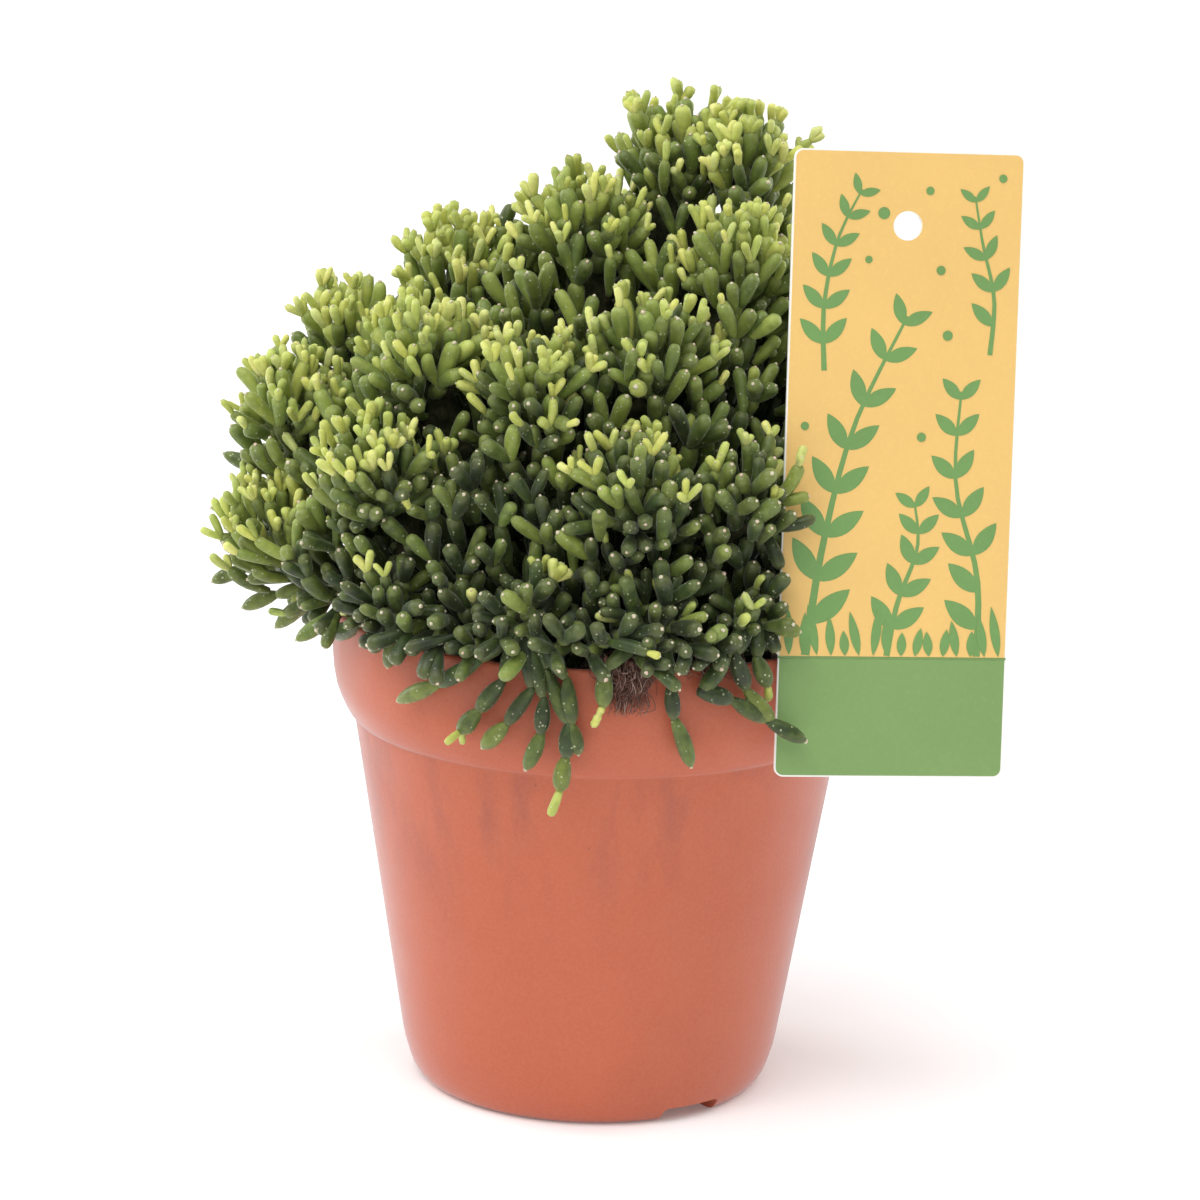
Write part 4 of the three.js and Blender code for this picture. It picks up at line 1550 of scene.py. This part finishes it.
def growLoneSprig():
    # the thin sprig that stands out at the top, beside the label
    number, tip = loneSprig
    head = cuttings[number]
    last = head["centre"] + (Vector(tip) - head["centre"]).normalized() * 6
    way = Vector(tip) - last
    grown[addJoint(number, last, last + way * 0.5, 1.6, 0.6, "trail", -1, True)]["children"] = 1
    before = addJoint(number, last + way * 0.45, last + way * 0.78, 1.15, 0.25, "trail", -1, True)
    grown[before]["children"] = 1
    start = last + way * 0.75
    for lift, size in ((0.55, 4.2), (-0.1, 3.6), (1.5, 3.4)):
        bud = (way.normalized() + Vector((0, -0.1, lift))).normalized()
        addJoint(number, start, start + bud * size, 0.85, 0.05, "sprout", before, True)


def growSideJoints():
    for number, start, end in sideJoints:
        ageAndShade = between("sideAge")
        addJoint(number - 1, Vector(start), Vector(end), between("sideRadius"), ageAndShade, "side", -1, True)


def growThinPlaces():
    for place in thinPlaces:
        for _ in range(plant["thinTries"]):
            end = Vector(place) + scatter(5.5)
            number = min(range(len(cuttings)), key=lambda i: (cuttings[i]["centre"] - end).length)
            way = (Vector((0.1, -0.15, 1)) + scatter(0.55)).normalized()
            start = end - way * between("thinLength")
            radius = between("thinRadius")
            addJoint(number, start, end, radius, between("thinAge"), "child")


growTrails()
growLoneSprig()
growSideJoints()
for joint in grown:
    if joint.get("inner"):
        joint["children"] = 1
growParents()
growFringe()
growChildren()
growFill()
growThinPlaces()
growSprouts()
print("joints grown:", len(grown))


def coreShape(number):
    # a dark core for each head, from the soil up: it fills the shaded inner mass, and its near-black colour
    # is painted shade
    head = cuttings[number]
    rounds, shares = 20, (1.0, 0.82, 0.6, 0.36)
    rises = (0.12, 0.28, 0.5, 0.75)
    ball = max(head["reach"] - plant["coreDepth"], 3.0)
    spread = math.asin(ball / head["distance"]) * 2.6

    def reaches(direction):
        over = ballSurface(head, direction, ball) > 0
        low = direction.z > 0.66 and direction.angle(head["outward"]) < spread
        return (over or low) and insideFan(head, direction, 0.006)

    def surface(direction):
        lump = noise.noise(direction * 26 + Vector((number, 0, 0))) * 2.2
        return max(ballSurface(head, direction, ball), valleySurface(direction) - plant["valleyDrop"]) + lump

    def bottom(direction):
        point = fanPoint + direction * ((plant["coreFoot"] - fanPoint.z) / direction.z)
        drawn = min(1.0, plant["coreFootReach"] / math.hypot(point.x, point.y))
        return Vector((point.x * drawn, point.y * drawn, plant["coreFoot"]))

    def clearPlace(point):
        limit = 55.5 + max(0.0, point.z - 112.5) * 1.6
        across = math.hypot(point.x, point.y)
        if across > limit:
            point = Vector((point.x * limit / across, point.y * limit / across, point.z))
        x, y, z = onCard(point)
        if x > -1.5 and y > -30 and z > -2.0:
            point = point - labelOut * (z + 2.0)
        return point

    rows = [[] for _ in range(1 + len(rises) + len(shares))]
    for i in range(rounds):
        turn = i * 2 * math.pi / rounds
        angle = spread
        while angle > 0.01 and not reaches(leaned(head["outward"], turn, angle)):
            angle -= spread / 40
        edge = leaned(head["outward"], turn, angle)
        low, high = bottom(edge), fanPoint + edge * surface(edge)
        rows[0].append(low)
        for k, rise in enumerate(rises):
            lump = noise.noise(Vector((turn * 3, rise * 9, number)))
            rows[1 + k].append(clearPlace(low.lerp(high, rise) + edge.cross(Vector((0, 0, 1))) * lump * 0.4))
        for k, share in enumerate(shares):
            way = leaned(head["outward"], turn, angle * share)
            rows[1 + len(rises) + k].append(clearPlace(fanPoint + way * surface(way)))
    rings = [np.array([tuple(point) for point in row]) for row in rows]
    first = np.array([tuple(bottom(head["outward"]))])
    last = np.array([tuple(clearPlace(fanPoint + head["outward"] * surface(head["outward"])))])
    points = np.concatenate([first, *rings, last])
    return points, tubeCorners(len(rings), rounds), rings


def flankStems(stack, rings, number, local):
    # old joints stacked up the core's sides, as the plant's own stems lie
    rounds = len(rings[0])
    top = len(rings) - 2
    for i in range(rounds):
        path = np.array([rings[k][i] for k in range(top)])
        steps = np.linalg.norm(np.diff(path, axis=0), axis=1)
        travelled = np.concatenate([[0], np.cumsum(steps)])
        if travelled[-1] < 6:
            continue
        place = local.uniform(-4, 0)
        while place < travelled[-1]:
            after = place + local.uniform(8.5, 12)
            low, high = max(place - 0.8, 0), min(after, travelled[-1] + 2.0)
            if high - low > 4:
                ends = [Vector([float(np.interp(at, travelled, path[:, axis])) for axis in range(3)])
                        for at in (low, min(high, travelled[-1]))]
                drift = Vector([local.uniform(-0.8, 0.8) for _ in range(3)])
                joint = {"start": ends[0] + drift, "end": ends[1] + drift * 0.5, "kind": "stem",
                         "radius": local.uniform(1.6, 2.1), "ageAndShade": local.uniform(0.9, 1.0), "children": 1}
                if (joint["end"] - joint["start"]).length > 3:
                    jointMesh(stack, joint, local)
            place = after


def rootedStems(number):
    # thin old stems from the soil up into the core
    head = cuttings[number]
    local = random.Random(number * 7 + 3)
    share = (105.0 - fanPoint.z) / (head["centre"].z - fanPoint.z)
    foot = fanPoint.lerp(head["centre"], share)
    made = []
    for i in range(5):
        low = foot + Vector((local.uniform(-4, 4), local.uniform(-4, 4), 0)) * (0 if i == 0 else 1)
        across = math.hypot(low.x, low.y)
        if across > 52:
            low = Vector((low.x * 52 / across, low.y * 52 / across, low.z))
        high = foot.lerp(head["centre"], 0.45) + Vector((local.uniform(-3, 3), local.uniform(-3, 3), 0))
        low.z = 99.5
        made.append((low, high, local.uniform(1.5, 2.0)))
    return made


def jointMesh(stack, joint, local):
    start, end, radius = np.array(joint["start"]), np.array(joint["end"]), joint["radius"]
    (places, sizes), sides, bare = jointKinds[joint["kind"]]
    if joint["children"]:
        bare = bareFork
    along = end - start
    length = np.linalg.norm(along)
    bend = np.cross(along / length, np.array([local.uniform(-1, 1) for _ in range(3)]))
    bend *= local.uniform(0.0, 0.10) * length
    if joint["kind"] in ("trail", "side"):
        bend *= 0.4
    centres = start + along * places[:, None] + bend * (4 * places * (1 - places))[:, None]
    rings = len(places) - 2
    angles = np.arange(sides) * 2 * math.pi / sides
    first, second = local.uniform(0, 6.28), local.uniform(0, 6.28)
    wobble = 1 + 0.045 * np.sin(2 * angles + first)[None, :] + 0.03 * np.sin(
        np.linspace(0, 7, rings) + second)[:, None]
    points, corners = tubeMesh(centres, sizes * radius, sides, local.uniform(0, 1), wobble)
    alongValues = np.concatenate([places[:1], np.repeat(places[1:-1], sides), places[-1:]])
    tone = local.random()
    addToStack(stack, points, corners, 0, joint["ageAndShade"], tone, alongValues)
    if local.random() > bare:
        addWool(stack, local, centres[-1], along / length, radius * local.uniform(0.20, 0.30))


def addWool(stack, local, tip, along, size):
    heights = np.array((-0.9, -0.55, 0.1, 0.6, 0.85)) * size
    radii = np.array((0, 0.9, 1.0, 0.62, 0)) * size
    centres = tip + along * heights[:, None]
    wobble = np.array([[local.uniform(0.7, 1.25) for _ in range(6)] for _ in range(3)])
    addToStack(stack, *tubeMesh(centres, radii, 6, local.uniform(0, 1), wobble), 1)


def makeCuttings():
    skin, wool, shade = stemMaterial(), woolMaterial(), shadeMaterial()
    total = 0
    for number in range(len(cuttings)):
        local = random.Random(1000 + number)
        stack = newStack()
        points, corners, rings = coreShape(number)
        # the head's dark core, in painted shade
        addToStack(stack, points, corners, 2)
        flankStems(stack, rings, number, local)
        for low, high, radius in rootedStems(number):
            stem = {"start": low, "end": high, "radius": radius, "kind": "stem", "ageAndShade": 1.0, "children": 1}
            jointMesh(stack, stem, local)
        for joint in grown:
            if joint["head"] == number:
                jointMesh(stack, joint, local)
        piece = meshFromStack(f"cactusHead{number + 1:02d}", stack, [skin, wool, shade])
        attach(piece, "root")
        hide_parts(f"cutting_{number + 1:02d}")
        total += len(piece.data.polygons)
    print("the cuttings are made:", total, "triangles")


makeCuttings()
